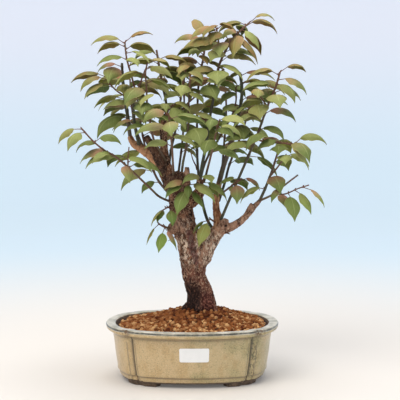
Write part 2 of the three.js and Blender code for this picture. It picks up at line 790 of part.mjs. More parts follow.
// A leaf as it leaves the stem at foot: its stalk, and a midrib that rises, arches over and droops.
function leafShape(foot, heading, hang, size, draw, nearTip) {
  const length = LEAF_LENGTH * size * (0.78 + 0.4 * draw()) * (1 - 0.22 * nearTip);
  return {
    foot,
    heading,
    length,
    width: length * LEAF_WIDTH * (0.9 + 0.2 * draw()),
    stalk: STALK_LENGTH * (0.7 + 0.6 * draw()),
    rise: 10 + 30 * draw() - hang,
    fall: Math.max(-88, -56 - 28 * draw() - hang),
    swing: 40 * (draw() - 0.5),
    roll: 50 * (draw() - 0.5),
    fold: 16 + 18 * draw(),
  };
}

const MIDRIB_STEPS = 12;

// Points and directions along the midrib, from the stalk's end to the tip.
function midrib(leaf) {
  const spot = leaf.foot.clone().addScaledVector(direction(leaf.heading, Math.min(leaf.rise, 40)), leaf.stalk);
  const frames = [];
  for (let i = 0; i <= MIDRIB_STEPS; i++) {
    const share = i / MIDRIB_STEPS;
    const lift = leaf.rise + (leaf.fall - leaf.rise) * share ** 0.85;
    const heading = leaf.heading + leaf.swing * share;
    const forward = direction(heading, lift);
    const level = direction(heading + 90, 0);
    const up = forward.clone().cross(level);
    const roll = radians(leaf.roll);
    const left = level.clone().multiplyScalar(Math.cos(roll)).addScaledVector(up, Math.sin(roll));
    const normal = forward.clone().cross(left);
    frames.push({ spot: spot.clone(), left, normal });
    spot.addScaledVector(forward, leaf.length / MIDRIB_STEPS);
  }
  return frames;
}

// A point of the blade: share of the way along, and -1 to 1 across it.
function bladePoint(leaf, frames, share, across) {
  const { spot, left, normal } = frames[Math.round(share * MIDRIB_STEPS)];
  const reach = halfWidth(share) * leaf.width * across;
  const fold = radians(leaf.fold);
  return spot
    .clone()
    .addScaledVector(left, reach * Math.cos(fold))
    .addScaledVector(normal, -Math.abs(reach) * Math.sin(fold));
}

const SAMPLE_SHARES = [1, 2, 3, 4, 5, 6, 7, 8, 9, 10, 11].map((step) => step / MIDRIB_STEPS);
const SAMPLE_SIDES = [-0.95, -0.65, -0.32, 0, 0.32, 0.65, 0.95];

function samplesOf(leaf) {
  const frames = midrib(leaf);
  const points = [frames[0].spot, frames[MIDRIB_STEPS].spot];
  for (const share of SAMPLE_SHARES) {
    for (const across of SAMPLE_SIDES) points.push(bladePoint(leaf, frames, share, across));
  }
  return points;
}

function stemSamples(shoot, { path, radius }) {
  const curve = curveThrough(path);
  const length = curve.getPoint(0).distanceTo(curve.getPoint(1));
  const count = Math.ceil((1.1 * length) / STEM_STEP);
  return Array.from({ length: count + 1 }, (_, i) => ({
    shoot,
    spot: curve.getPoint(i / count),
    radius: along(radius, i / count),
  }));
}

// Every heading and size that a leaf may take, the wanted ones first.
function triesOf(shape) {
  return SIZES_TO_TRY.flatMap((size) =>
    TURNS_TO_TRY.map((turn) => ({
      ...shape,
      heading: shape.heading + turn,
      length: shape.length * size,
      width: shape.width * size,
    })),
  );
}

// Sets every leaf where it grows. One that would touch another leaf or stem is turned until it is clear,
// and stays smaller where no turn helps.
function growLeaves() {
  const stems = WOOD.flatMap((wood) => stemSamples("wood", wood));
  for (const [name, parts] of Object.entries(SHOOTS)) {
    for (const part of parts) stems.push(...stemSamples(name, part));
  }
  const taken = [];
  const grown = {};
  Object.entries(SHOOTS).forEach(([name, parts], order) => {
    const draw = draws(1000 + 77 * order);
    grown[name] = [];
    for (const part of parts) {
      const curve = curveThrough(part.path);
      for (const [share, heading, hang = 0, size = 1] of part.leaves) {
        const shape = leafShape(curve.getPoint(share), heading, hang, size, draw, share);
        const free = triesOf(shape).find((leaf) => isClear(name, samplesOf(leaf), stems, taken));
        if (!free) continue;
        grown[name].push(free);
        for (const spot of samplesOf(free)) taken.push({ shoot: name, spot });
      }
    }
  });
  return grown;
}

function isClear(name, points, stems, taken) {
  const room = new THREE.Box3().setFromPoints(points).expandByScalar(LEAF_CLEARANCE);
  for (const { shoot, spot } of taken) {
    if (!room.containsPoint(spot)) continue;
    const clearance = shoot === name ? SAME_SHOOT_CLEARANCE : LEAF_CLEARANCE;
    if (points.some((point) => point.distanceToSquared(spot) < clearance ** 2)) return false;
  }
  for (const { shoot, spot, radius } of stems) {
    const clearance = radius + (shoot === name ? 1 : STEM_CLEARANCE);
    if (points.some((point) => point.distanceToSquared(spot) < clearance ** 2)) return false;
  }
  return true;
}

// Rows of the leaf's solid past its foot: the stalk's end, two across the blade, and the tip.
const LEAF_ROWS = [0, 4, 8, 12].map((step) => step / MIDRIB_STEPS);

// A leaf and its stalk as one solid: a four-sided cone laid along the midrib and flattened.
function leafSolid(leaf) {
  const frames = midrib(leaf);
  const cone = new THREE.ConeGeometry(1, 1, 4, LEAF_ROWS.length);
  return solidOf(
    bent(cone, (height, side, front) => {
      const row = Math.round(height * LEAF_ROWS.length);
      const share = row === 0 ? 0 : LEAF_ROWS[row - 1];
      const frame = frames[Math.round(share * MIDRIB_STEPS)];
      const onStalk = row <= 1;
      const thick = (onStalk ? STALK_THICKNESS : LEAF_THICKNESS * (1 - 0.3 * share)) / 2;
      if (row === LEAF_ROWS.length) return frame.spot;
      if (onStalk || Math.abs(side) < 0.5) {
        const base = row === 0 ? leaf.foot : frame.spot;
        return base
          .clone()
          .addScaledVector(frame.left, -side * thick)
          .addScaledVector(frame.normal, front * thick);
      }
      return bladePoint(leaf, frames, share, -Math.sign(side));
    }),
  );
}

// Putting it together

const trunk = joined(WOOD.map((wood) => limb(wood)));
const roomForTrunk = joined(WOOD.map((wood) => limb(wood, GAP)));
const grown = growLeaves();

function shootSolid(name) {
  const stems = SHOOTS[name].map((part) => limb(part));
  const whole = joined([...stems, ...grown[name].map(leafSolid)]);
  return largestBody(whole.subtract(roomForTrunk));
}

const TRUNK_FOOT = seen([9.2, 71, TRUNK_DEPTH]);

const LUMP_HEIGHT = 1.1;
const LUMPS_END = 100;

// The top of the granules: a mound round the trunk's foot, with lumps larger than the real grains.
function granules(spot, radius) {
  if (spot.z < SOIL_EDGE) return 0;
  const away = Math.hypot(spot.x - TRUNK_FOOT.x, spot.y - TRUNK_FOOT.y);
  const mound = MOUND_HEIGHT * Math.exp(-((away / MOUND_SPREAD) ** 2));
  const lumps = Math.sin(spot.x * 0.6) * Math.cos(spot.y * 0.7) + 0.6 * Math.sin(spot.x * 0.3 + spot.y * 0.9);
  return mound + (radius > LUMPS_END ? 0 : LUMP_HEIGHT * lumps);
}

function soil() {
  const side = [...INSIDE].reverse().map(([radius, z]) => [radius - GAP - 0.25, z + GAP]);
  const rings = [97, 85, 73, 61, 49, 36, 20].map((radius) => [radius, SOIL_EDGE]);
  const profile = [[0, FLOOR_TOP + GAP], ...side, [104.4, SOIL_EDGE], ...rings, [0, SOIL_EDGE]];
  let body = solidOf(potLathe(profile, POT_TURNS, granules));
  for (const x of [-DRAIN.offset, DRAIN.offset]) {
    const room = SCREEN.side + 2 * GAP;
    const recess = new THREE.BoxGeometry(room, room, 2 * (SCREEN.thickness + 2 * GAP));
    body = body.subtract(solidOf(recess.translate(x, 0, FLOOR_TOP)));
  }
  return largestBody(body.subtract(roomForTrunk));
}

const bonsai = new THREE.Group();
bonsai.add(meshOf("pot", pot(), "glaze"));
bonsai.add(meshOf("label", label(), "paper"));
bonsai.add(meshOf("drain_screen_left", screen(-DRAIN.offset), "mesh"));
bonsai.add(meshOf("drain_screen_right", screen(DRAIN.offset), "mesh"));
bonsai.add(meshOf("soil", soil(), "soil"));
bonsai.add(meshOf("trunk", trunk, "bark"));
for (const name of Object.keys(SHOOTS)) bonsai.add(meshOf(`shoot_${name}`, shootSolid(name), "shoot"));

export default bonsai;
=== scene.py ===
"""A Japanese apricot grown as a bonsai, in leaf, in a glazed pot with four lobes.

The looks of the tree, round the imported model. Lengths are millimetres up to finished(), which makes
every piece's mesh metres. The front is towards -Y, and the origin is under the pot's middle.
"""

import math
import random
from collections import namedtuple

import bmesh
import bpy
import numpy as np
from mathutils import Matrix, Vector, noise
from mathutils.bvhtree import BVHTree
from mathutils.kdtree import KDTree


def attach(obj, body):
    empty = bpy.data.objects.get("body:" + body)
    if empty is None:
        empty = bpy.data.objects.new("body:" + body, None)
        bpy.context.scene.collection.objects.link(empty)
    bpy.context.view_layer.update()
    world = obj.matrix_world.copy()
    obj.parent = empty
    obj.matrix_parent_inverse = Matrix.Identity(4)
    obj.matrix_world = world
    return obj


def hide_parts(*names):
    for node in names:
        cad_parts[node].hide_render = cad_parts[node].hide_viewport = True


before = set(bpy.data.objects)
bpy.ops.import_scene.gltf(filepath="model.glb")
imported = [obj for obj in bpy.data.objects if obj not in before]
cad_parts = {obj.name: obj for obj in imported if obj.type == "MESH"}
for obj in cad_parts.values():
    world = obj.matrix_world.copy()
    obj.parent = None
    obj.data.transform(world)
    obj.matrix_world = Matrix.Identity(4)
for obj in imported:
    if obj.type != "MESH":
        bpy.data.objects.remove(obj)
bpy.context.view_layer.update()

MM = 0.001

# The pot
HALF_LENGTH = 120
HALF_WIDTH = 90
POT_HEIGHT = 79
FOOT_HEIGHT = 5
FLOOR_TOP = 12
KINK = (93, 68)
NOTCH_DEPTH = 5
NOTCH_SPREAD = 0.06
CORE = 60
CROWDING = 0.2
POT_TURNS = 240
DRAIN_RADIUS = 9
DRAIN_OFFSET = 42

# The label
LABEL_WIDTH = 39
LABEL_HEIGHT = 19
LABEL_MIDDLE = 47.5
LABEL_ACROSS = 3
LABEL_CORNER = 2.2
LABEL_STEP = 1.5
LABEL_LIFT = 0.12
LABEL_THICKNESS = 0.25

# The leaves
LEAF_LENGTH = 52
LEAF_WIDTH = 0.58
LEAF_THICKNESS = 0.45
STALK_LENGTH = 10
MIDRIB_STEPS = 12

# The squared drawing of the tree's front that the wood's points are read off, in squares,
# with depths in mm behind the pot's middle. It is in perspective, seen by EYE, looking down a little.
EYE = np.array((10.8, -1500.0, 377.8))
LOOK_DOWN = math.radians(4.95)
SQUARE = 0.918 / 1000
DRAWING_MIDDLE = (8, 173)
DRAWING_SIZE = 400

Stem = namedtuple("Stem", "path radius leaves bark", defaults=((), 0))

# Old wood: the trunk, its limbs, stubs and burls, and the roots, in squares, with radii in mm
WOOD = [
    Stem(
        path=[
            (9, 52, 22), (9.5, 63, 22), (9.2, 71, 22), (7.8, 79, 22), (5, 88, 22), (2.6, 98, 22),
            (2, 106, 21), (0.5, 116, 20), (-2, 126, 19), (-4, 136, 18), (-7.5, 146, 18),
            (-10.5, 156, 17), (-11, 166, 16), (-12, 176, 15), (-16, 186, 15), (-22, 195, 15),
            (-27, 204, 15),
        ],
        radius=[21, 21, 20, 18.5, 17, 16.3, 16.8, 18, 17.5, 16.5, 17, 16.5, 16.5, 16, 14.5, 12.5, 9.5],
        bark=0.06,
    ),
    Stem(
        path=[(6, 110, 20), (12, 119, 18), (17, 128, 16), (22, 137, 14), (28, 144, 12), (34, 146, 9)],
        radius=[12, 12.5, 11.5, 10.5, 9.5, 6],
        bark=0.06,
    ),
    Stem(
        path=[(29, 144, 12), (36, 145, 8), (45, 149, 2), (54, 157, -3), (63, 167, -7), (70, 175, -10)],
        radius=[7, 5.8, 5.2, 4.6, 3.6, 2.6],
        bark=0.04,
    ),
    Stem(path=[(54, 157, -3), (57, 164, -6), (60, 169, -8)], radius=[3.6, 3.2, 2.8], bark=0.04),
    Stem(
        path=[(27, 143, 13), (26, 155, 17), (24, 168, 20), (25, 180, 22), (27, 190, 22)],
        radius=[8, 6.4, 5, 4.6, 4],
        bark=0.04,
    ),
    Stem(path=[(30, 146, 10), (33, 150, 4), (34, 154, 3)], radius=[6, 5.2, 3.6], bark=0.06),
    Stem(
        path=[
            (-25, 199, 15), (-33, 211, 17), (-43, 219, 21), (-52, 225, 25), (-59, 230, 28),
            (-62, 237, 30),
        ],
        radius=[10, 7.8, 6.6, 5.8, 5, 3.8],
        bark=0.05,
    ),
    Stem(
        path=[
            (-22, 196, 12), (-26, 210, 11), (-28, 226, 12), (-28.5, 241, 13), (-28, 251, 14),
            (-26.5, 259, 15),
        ],
        radius=[8.5, 6.6, 5.6, 5.2, 4.7, 4],
        bark=0.03,
    ),
    Stem(
        path=[(-28, 202, 8), (-34, 215, 3), (-40, 226, 2), (-46, 237, 4)],
        radius=[7.5, 6.6, 5.8, 4.4],
        bark=0.1,
    ),
    Stem(path=[(-22, 192, 8), (-14, 195, 2), (-8, 196, 2)], radius=[10, 10, 6.5], bark=0.09),
    Stem(path=[(-6, 188, 6), (-5, 198, 3), (-5, 206, 2)], radius=[6, 4.2, 3.4], bark=0.06),
    Stem(
        path=[(-8, 168, 14), (1, 174, 10), (7, 181, 8), (8, 193, 9)],
        radius=[11, 10, 7.5, 4.6],
        bark=0.05,
    ),
    Stem(path=[(-12, 150, 14), (-19, 145, 8), (-22, 142, 6)], radius=[9, 7.5, 4.5], bark=0.08),
    Stem(path=[(5, 72, 20), (-5, 67, 16), (-9, 62, 13)], radius=[9, 4.6, 3]),
    Stem(path=[(10, 72, 16), (7, 66, 3), (5, 61, -2)], radius=[9, 6, 3.6]),
    Stem(path=[(13, 72, 18), (20, 67, 8), (24, 61, 4)], radius=[10, 5.5, 3.4]),
    Stem(path=[(12, 72, 26), (22, 66, 38), (27, 60, 42)], radius=[9, 5, 3]),
    Stem(path=[(6, 72, 28), (-3, 66, 40), (-7, 60, 44)], radius=[9, 5, 3]),
]

# Young shoots, with leaves as (share of the way along the stem, heading in degrees and, where given,
# how much lower it hangs in degrees and how large it is)
SHOOTS = {
    "left_long": [
        Stem(
            path=[
                (-18, 170, 16), (-32, 176, 4), (-41, 184, -8), (-62, 204, -22), (-76, 216, -32),
                (-88, 223, -38), (-99, 232, -43), (-110, 244, -48),
            ],
            radius=[1.8, 1.1],
            leaves=[
                (1, 178, 30), (0.96, 205, 25), (0.84, -15), (0.72, 186), (0.66, 165), (0.6, 200),
                (0.52, 182), (0.48, -70, 45, 0.65), (0.44, -5),
            ],
        ),
        Stem(
            path=[(-64, 206, -23), (-64, 214, -20), (-63, 226, -16)],
            radius=[1.1, 0.9],
            leaves=[(0.45, 172), (0.3, 8)],
        ),
    ],
    "top_right": [
        Stem(
            path=[
                (7, 188, 9), (10, 207, 10), (13.5, 225, 12), (16, 243, 12), (18.5, 259, 12),
                (21.5, 275, 13), (23.5, 289, 15), (27, 307, 17), (32, 319, 18), (39, 332, 20),
                (47, 341, 20), (57, 350, 20),
            ],
            radius=[2.6, 1.1],
            leaves=[
                (1, -2, -10), (0.975, 178, -5), (0.955, -8, 8), (0.93, -35, 30), (0.915, 20, 35),
                (0.9, 190), (0.88, -95, 40), (0.85, -30, 30), (0.82, 165), (0.78, 200), (0.74, 10),
                (0.69, 150), (0.62, -50), (0.55, 195), (0.47, 15), (0.4, 160), (0.32, -20),
                (0.94, 165, 5, 0.9), (0.87, 210, 5), (0.835, 195), (0.8, -20, 5), (0.76, 180),
                (0.72, -110), (0.66, 20), (0.6, 170), (0.52, -40),
            ],
        ),
        Stem(
            path=[(31, 318, 17), (27, 330, 8), (24.5, 345, 2)],
            radius=[1.2, 1],
            leaves=[
                (1, 176), (0.9, 215, 10), (0.7, -20), (0.5, 190), (0.95, 15, 5, 0.8),
                (0.8, 150, 0, 0.8), (0.4, -120, 20),
            ],
        ),
    ],
    "far_right": [
        Stem(
            path=[
                (28, 151, 12), (39, 177, 4), (49, 200, -2), (59, 223, -6), (66, 240, -8),
                (72, 257, -10), (78, 273, -12), (84, 287, -14), (88, 301, -16),
            ],
            radius=[2.2, 1.3],
            leaves=[
                (1, 15, -15), (0.97, 176, -8), (0.93, -12, 5), (0.89, -45, 30), (0.85, 200), (0.81, 5),
                (0.76, -75), (0.7, 165), (0.64, -10), (0.58, 205), (0.52, -35), (0.46, 175),
                (0.4, 190), (0.34, -15, 20),
            ],
        ),
        Stem(
            path=[(75, 267, -11), (68, 277, -20), (62, 284, -26)],
            radius=[1.2, 1],
            leaves=[(1, 195), (0.8, -85), (0.6, -15)],
        ),
        Stem(
            path=[(63, 234, -7), (74, 231, -22), (88, 230, -34), (102, 229, -44)],
            radius=[1.4, 1],
            leaves=[
                (1, -5, -12), (0.92, -60, 30), (0.82, -20, 38), (0.7, 150, 5), (0.55, -70), (0.42, 20),
                (0.3, -120),
            ],
        ),
    ],
    "right_tip": [
        Stem(
            path=[
                (68, 173, -9), (73, 184, -12), (77, 194, -14), (81, 205, -16), (84, 215, -18),
                (87, 224, -20),
            ],
            radius=[2.2, 1.3],
            leaves=[(0.2, 195, 15), (0.42, -8, 10), (0.7, 120), (0.9, -60)],
        ),
        Stem(
            path=[(78.5, 197, -15), (85, 205, -22), (90, 212, -27), (93, 217, -30)],
            radius=[1.3, 1.1],
            leaves=[(1, -10), (0.8, -90)],
        ),
    ],
    "right_low": [
        Stem(
            path=[(67, 172, -10), (80, 178, -20), (89, 185, -26), (98, 192, -32), (106, 198, -36)],
            radius=[1.7, 1.1],
            leaves=[(0.5, -110, 45, 0.7)],
        ),
        Stem(
            path=[(81, 179, -21), (93, 179, -30), (105, 184, -36), (117, 188, -42)],
            radius=[1.1, 0.9],
            leaves=[
                (0.22, 70, 30, 0.8), (0.42, -75, 50, 0.75), (0.6, -45, 48, 0.7), (0.82, -20, 35, 0.85),
            ],
        ),
    ],
    "left_tall": [
        Stem(
            path=[
                (-61.5, 234, 29.5), (-63.5, 249, 28), (-65, 262, 26), (-67, 275, 24), (-68.5, 287, 22),
                (-69.5, 299, 20), (-70, 310, 18),
            ],
            radius=[3, 1.8],
            leaves=[
                (0.94, 178, -5), (0.86, 215), (0.8, 10), (0.7, 140), (0.6, -60), (0.48, 178, 5),
                (0.34, 130), (0.24, 205, 25), (0.16, -50),
            ],
        ),
        Stem(
            path=[(-67.5, 277, 24), (-75, 282, 16), (-82, 289, 10), (-86, 296, 6)],
            radius=[1.2, 1],
            leaves=[(1, 176, -5), (0.86, 200, 10), (0.66, 215, 15), (0.5, 150), (0.4, -70, 10)],
        ),
    ],
    "left_second": [
        Stem(
            path=[
                (-52, 224, 24), (-55.5, 239, 18), (-57.5, 251, 15), (-58.5, 263, 13), (-58.5, 274, 12),
                (-57, 285, 12),
            ],
            radius=[2.6, 1.6],
            leaves=[(0.35, 215), (0.5, -35), (0.66, 160), (0.78, -95), (0.9, 30)],
        ),
        Stem(
            path=[(-57, 284, 12), (-61, 299, 6), (-65, 313, 2), (-66.5, 323, 0), (-67, 331, -2)],
            radius=[1.5, 1],
            leaves=[
                (1, 12, -30), (0.94, 176, -12), (0.84, 186), (0.76, 4, -5), (0.66, -25), (0.5, 200),
                (0.36, -70),
            ],
        ),
        Stem(
            path=[(-58.3, 276, 12), (-54, 284, 15), (-51, 292, 17), (-47, 303, 19)],
            radius=[1.3, 1],
            leaves=[(1, 10), (0.85, 160), (0.65, -30), (0.45, 110)],
        ),
    ],
    "left_inner": [
        Stem(
            path=[
                (-26, 212, 4), (-32, 222, -7), (-38, 233, -9), (-41, 245, -9), (-43, 258, -9),
                (-45, 271, -9), (-45.5, 285, -9), (-46.5, 299, -9), (-45, 309, -9),
            ],
            radius=[1.8, 1.1],
            leaves=[
                (0.34, 170), (0.46, -15), (0.55, 195), (0.64, -80), (0.72, 160), (0.79, -10),
                (0.86, 205), (0.93, -50), (1, 170),
            ],
        ),
    ],
    "left_rear": [
        Stem(
            path=[
                (-22, 178, 26), (-34, 193, 40), (-41, 209, 46), (-47, 227, 50), (-51, 247, 50),
                (-52.5, 263, 48), (-55, 275, 46),
            ],
            radius=[1.9, 1.2],
            leaves=[
                (0.14, 195, 10, 0.7), (0.26, 195, 10), (0.44, 165), (0.58, -10), (0.7, 190),
                (0.82, 60), (0.92, 150), (1, 220),
            ],
        ),
    ],
    "centre_cut": [
        Stem(
            path=[
                (-26.3, 256, 15), (-26, 271, 18), (-29, 285, 20), (-31.5, 299, 22), (-33.5, 311, 24),
                (-35.5, 323, 26),
            ],
            radius=[2, 1.5],
            leaves=[(0.4, -35), (0.5, 155), (0.6, 25), (0.68, -95), (0.76, 195), (0.84, 5), (0.9, 140)],
        ),
    ],
    "limb_top": [
        Stem(
            path=[(-26.5, 256, 12), (-24, 262, 2), (-20, 267, -6)],
            radius=[1.5, 1.1],
            leaves=[(1, -25, 10), (0.85, 190, 5), (0.7, -75, 15), (0.5, -140), (0.4, 10)],
        ),
    ],
    "centre": [
        Stem(
            path=[
                (-23, 207, 17), (-21, 223, 27), (-17.5, 238, 30), (-14.5, 253, 30), (-12.5, 267, 30),
                (-10, 281, 30), (-7.5, 295, 28), (-6, 304, 26),
            ],
            radius=[2, 1.2],
            leaves=[
                (0.36, -45), (0.44, 165), (0.54, 20), (0.64, 200), (0.72, -60), (0.8, 110),
                (0.87, -15), (0.92, 190), (0.96, -100), (1, 40),
            ],
        ),
        Stem(
            path=[
                (-13.8, 258, 30), (-6, 268, 23), (4, 277, 15), (15, 287, 6), (24, 297, 0),
                (32, 304, -5),
            ],
            radius=[1.4, 1.1],
            leaves=[(0.5, 60), (0.64, -70), (0.76, 165), (0.88, -15), (1, 5, -10)],
        ),
    ],
    "centre_right": [
        Stem(
            path=[
                (-11, 192, 4), (-9, 210, 1), (-6, 225, 0), (-4, 243, -3), (-3.5, 259, -5),
                (-3, 275, -5), (-2, 290, -5), (-2, 301, -5),
            ],
            radius=[2, 1.1],
            leaves=[
                (0.3, -50), (0.4, 185), (0.48, 5), (0.56, -110), (0.64, 175), (0.72, -20), (0.8, 205),
                (0.88, -65), (0.94, 15), (1, 180),
            ],
        ),
    ],
    "middle_tall": [
        Stem(
            path=[
                (23, 141, 15), (16, 152, 24), (11.5, 166, 34), (8, 185, 40), (6, 205, 42),
                (5, 225, 42), (5, 247, 42), (5.5, 267, 42), (6.5, 287, 42), (9, 303, 42),
                (12, 319, 42), (13.5, 334, 42),
            ],
            radius=[2.5, 1.1],
            leaves=[
                (0.44, 150), (0.52, -25), (0.6, 205), (0.67, 35), (0.73, 120), (0.79, -60),
                (0.84, 185), (0.88, 0), (0.92, 170), (0.96, -20), (0.98, 190, -5), (1, 120, -45),
                (0.99, -10, -5, 0.9), (0.94, 60), (0.9, -150), (0.86, 30), (0.81, -120), (0.76, 10),
            ],
        ),
    ],
    "right_slender": [
        Stem(
            path=[
                (7, 186, 10), (12, 207, 26), (19, 222, 30), (28, 236, 33), (36, 250, 35),
                (41, 260, 36), (44, 272, 36), (44, 286, 34),
            ],
            radius=[1.9, 1.1],
            leaves=[(0.36, 190), (0.48, -25), (0.6, 120), (0.7, 205), (0.8, 20), (0.9, 160), (1, -70)],
        ),
    ],
    "right_main": [
        Stem(
            path=[
                (26.5, 188, 22), (31, 205, 20), (36, 220, 18), (39, 230, 17), (42, 242, 16),
                (46, 256, 15), (49, 270, 14), (50, 284, 13), (48.5, 297, 12),
            ],
            radius=[4, 2],
            leaves=[
                (0.3, 190), (0.37, -20, 8), (0.45, 170), (0.53, -70), (0.61, 15), (0.69, 200),
                (0.77, -40), (0.85, 150), (0.92, 5), (0.97, 195), (1, -60),
            ],
        ),
        Stem(
            path=[(44.5, 251, 15), (53, 258, 4), (60, 265, -6)],
            radius=[1.4, 1],
            leaves=[(1, -12), (0.85, -75), (0.6, 175)],
        ),
        Stem(
            path=[(40.5, 237, 16), (30, 244, 2), (18, 250, -10), (10, 255, -18)],
            radius=[1.2, 1],
            leaves=[(1, 188), (0.85, -80), (0.62, -35), (0.45, 200)],
        ),
    ],
    "right_rear": [
        Stem(
            path=[
                (27, 172, 24), (33, 191, 42), (37, 207, 48), (44, 225, 52), (51, 243, 54),
                (56, 261, 54), (60, 277, 52), (62, 288, 50),
            ],
            radius=[2.1, 1.2],
            leaves=[(0.3, 30), (0.44, 170), (0.57, -20), (0.69, 110), (0.8, 0), (0.9, 80), (1, -20)],
        ),
    ],
    "left_burl": [
        Stem(
            path=[(-19, 144, 8), (-27, 146, -3), (-33, 149, -8)],
            radius=[1.9, 1.2],
            leaves=[(0.5, -115, 55, 0.8), (0.68, -70, 60, 0.7), (1, 200, 60, 0.6)],
        ),
    ],
    "trunk_front": [
        Stem(
            path=[(-6, 176, 8), (-4, 184, -7), (-2, 190, -13)],
            radius=[1.6, 1.1],
            leaves=[
                (1, 190, 5), (0.85, -30, 10), (0.75, 205, 20, 0.8), (0.62, -120, 48, 0.75),
                (0.5, -160, 40, 0.8), (0.95, -80, 40, 0.6), (0.7, 150, 10, 0.7),
            ],
        ),
    ],
    "trunk_left": [
        Stem(
            path=[(-15, 168, 8), (-22, 166, -6), (-26, 165, -10)],
            radius=[1.5, 1.1],
            leaves=[(1, 200, 55, 0.85), (0.75, 165, 45, 0.65), (0.6, -75, 55, 0.7)],
        ),
    ],
    "fork_front": [
        Stem(
            path=[(6, 181, 6), (9, 187, -6), (11, 193, -10)],
            radius=[1.5, 1.1],
            leaves=[
                (1, -20, 5), (0.8, -5, 22), (0.6, -75, 45, 0.75), (0.9, 100), (0.7, -150, 30, 0.65),
                (0.45, 30, 10, 0.7),
            ],
        ),
    ],
    "branch_leaf": [
        Stem(
            path=[(24, 150, 14), (20, 153, 2), (18, 154, -3)],
            radius=[1.5, 1.1],
            leaves=[(1, -125, 55, 1.15), (0.7, 165, 35, 0.5)],
        ),
    ],
    "right_inner": [
        Stem(
            path=[(25, 176, 20), (33, 182, 4), (41, 188, -6), (48, 193, -12)],
            radius=[1.6, 1.1],
            leaves=[(1, -15, 20), (0.9, 160), (0.75, -70, 20), (0.6, 20), (0.45, -120)],
        ),
    ],
    "back_left": [
        Stem(
            path=[(-44, 219, 24), (-52, 233, 38), (-58, 252, 54), (-61, 274, 62), (-62, 294, 66)],
            radius=[1.9, 1.2],
            leaves=[(0.38, 120), (0.54, 200), (0.66, 60), (0.78, 170), (0.89, 30), (1, 130)],
        ),
    ],
    "back_centre": [
        Stem(
            path=[
                (-15, 184, 24), (-13, 204, 52), (-10, 228, 63), (-8, 254, 68), (-8, 278, 70),
                (-10, 296, 70),
            ],
            radius=[2, 1.2],
            leaves=[(0.34, 60), (0.46, 140), (0.58, 10), (0.69, 190), (0.79, 80), (0.89, -20), (1, 140)],
        ),
    ],
    "back_right": [
        Stem(
            path=[
                (26, 184, 25), (30, 204, 53), (32, 228, 65), (34, 252, 70), (34, 274, 71),
                (32, 290, 71),
            ],
            radius=[2, 1.2],
            leaves=[(0.34, 20), (0.46, 130), (0.58, 60), (0.69, -10), (0.79, 160), (0.9, 0), (1, 80)],
        ),
    ],
    "front_left": [
        Stem(
            path=[(-18, 195, 4), (-19, 208, -30), (-20, 226, -54), (-22, 244, -71), (-23, 258, -83)],
            radius=[1.8, 1.1],
            leaves=[(0.5, -160), (0.62, -40), (0.74, 190), (0.84, -90), (0.92, -10), (1, -140)],
        ),
    ],
    "front_right": [
        Stem(
            path=[(12, 191, 7), (16, 206, -28), (20, 222, -53), (24, 240, -72), (27, 252, -84)],
            radius=[1.8, 1.1],
            leaves=[(0.48, -20), (0.6, -150), (0.72, -60), (0.82, 10), (0.92, -115), (1, -45)],
        ),
    ],
}


# Small tools


def linear(colour):
    """A colour written as sRGB hex, as the linear numbers that a socket takes."""
    parts = [int(colour[i : i + 2], 16) / 255 for i in (1, 3, 5)]
    return (*[c / 12.92 if c <= 0.04045 else ((c + 0.055) / 1.055) ** 2.4 for c in parts], 1)


def draws(seed):
    """Repeatable random numbers from 0 to 1, by the minimal standard generator."""
    state = seed
    while True:
        state = (state * 16807) % 2147483647
        yield state / 2147483647


def soft_step(low, high, value):
    """0 below low, 1 above high, and smooth between."""
    t = min(max((value - low) / (high - low), 0), 1)
    return t * t * (3 - 2 * t)


def hump(value, middle, reach):
    """A smooth hump, 1 at its middle and a third of that at its reach."""
    return math.exp(-(((value - middle) / reach) ** 2))


def along(values, share):
    """The value at a share of the way along a list of values."""
    place = share * (len(values) - 1)
    before = min(int(place), len(values) - 2)
    return values[before] + (values[before + 1] - values[before]) * (place - before)


def unit(vector):
    return vector / np.linalg.norm(vector)


def seen(square):
    """Where the eye's line of sight through a square of the drawing meets the plane at a depth."""
    right = (square[0] - DRAWING_MIDDLE[0]) * SQUARE
    up = (square[1] - DRAWING_MIDDLE[1]) * SQUARE
    down, ahead = math.sin(LOOK_DOWN), math.cos(LOOK_DOWN)
    sight = np.array((right, ahead + up * down, up * ahead - down))
    return EYE + sight * ((square[2] - EYE[1]) / sight[1])


class Curve:
    """A Catmull-Rom curve through the squares of a path, with half-length tangents."""

    def __init__(self, path):
        spots = [seen(square) for square in path]
        self.spots = [2 * spots[0] - spots[1], *spots, 2 * spots[-1] - spots[-2]]

    def at(self, share):
        place = share * (len(self.spots) - 3)
        before = min(int(place), len(self.spots) - 4)
        t = place - before
        a, b, c, d = self.spots[before : before + 4]
        leave, arrive = (c - a) / 2, (d - b) / 2
        bend = (-3 * b + 3 * c - 2 * leave - arrive) * t * t
        return b + leave * t + bend + (2 * b - 2 * c + leave + arrive) * t * t * t

    def forward(self, share):
        return unit(self.at(min(share + 1e-4, 1)) - self.at(max(share - 1e-4, 0)))

    def across(self):
        run = unit(self.at(1) - self.at(0))
        return np.array((0.0, 1.0, 0.0)) if abs(run[1]) < 0.7 else np.array((1.0, 0.0, 0.0))

    def length(self):
        steps = [self.at(i / 40) for i in range(41)]
        return sum(np.linalg.norm(b - a) for a, b in zip(steps, steps[1:]))


def of_kind(kind, geometry):
    return [g for g in geometry if isinstance(g, kind)]


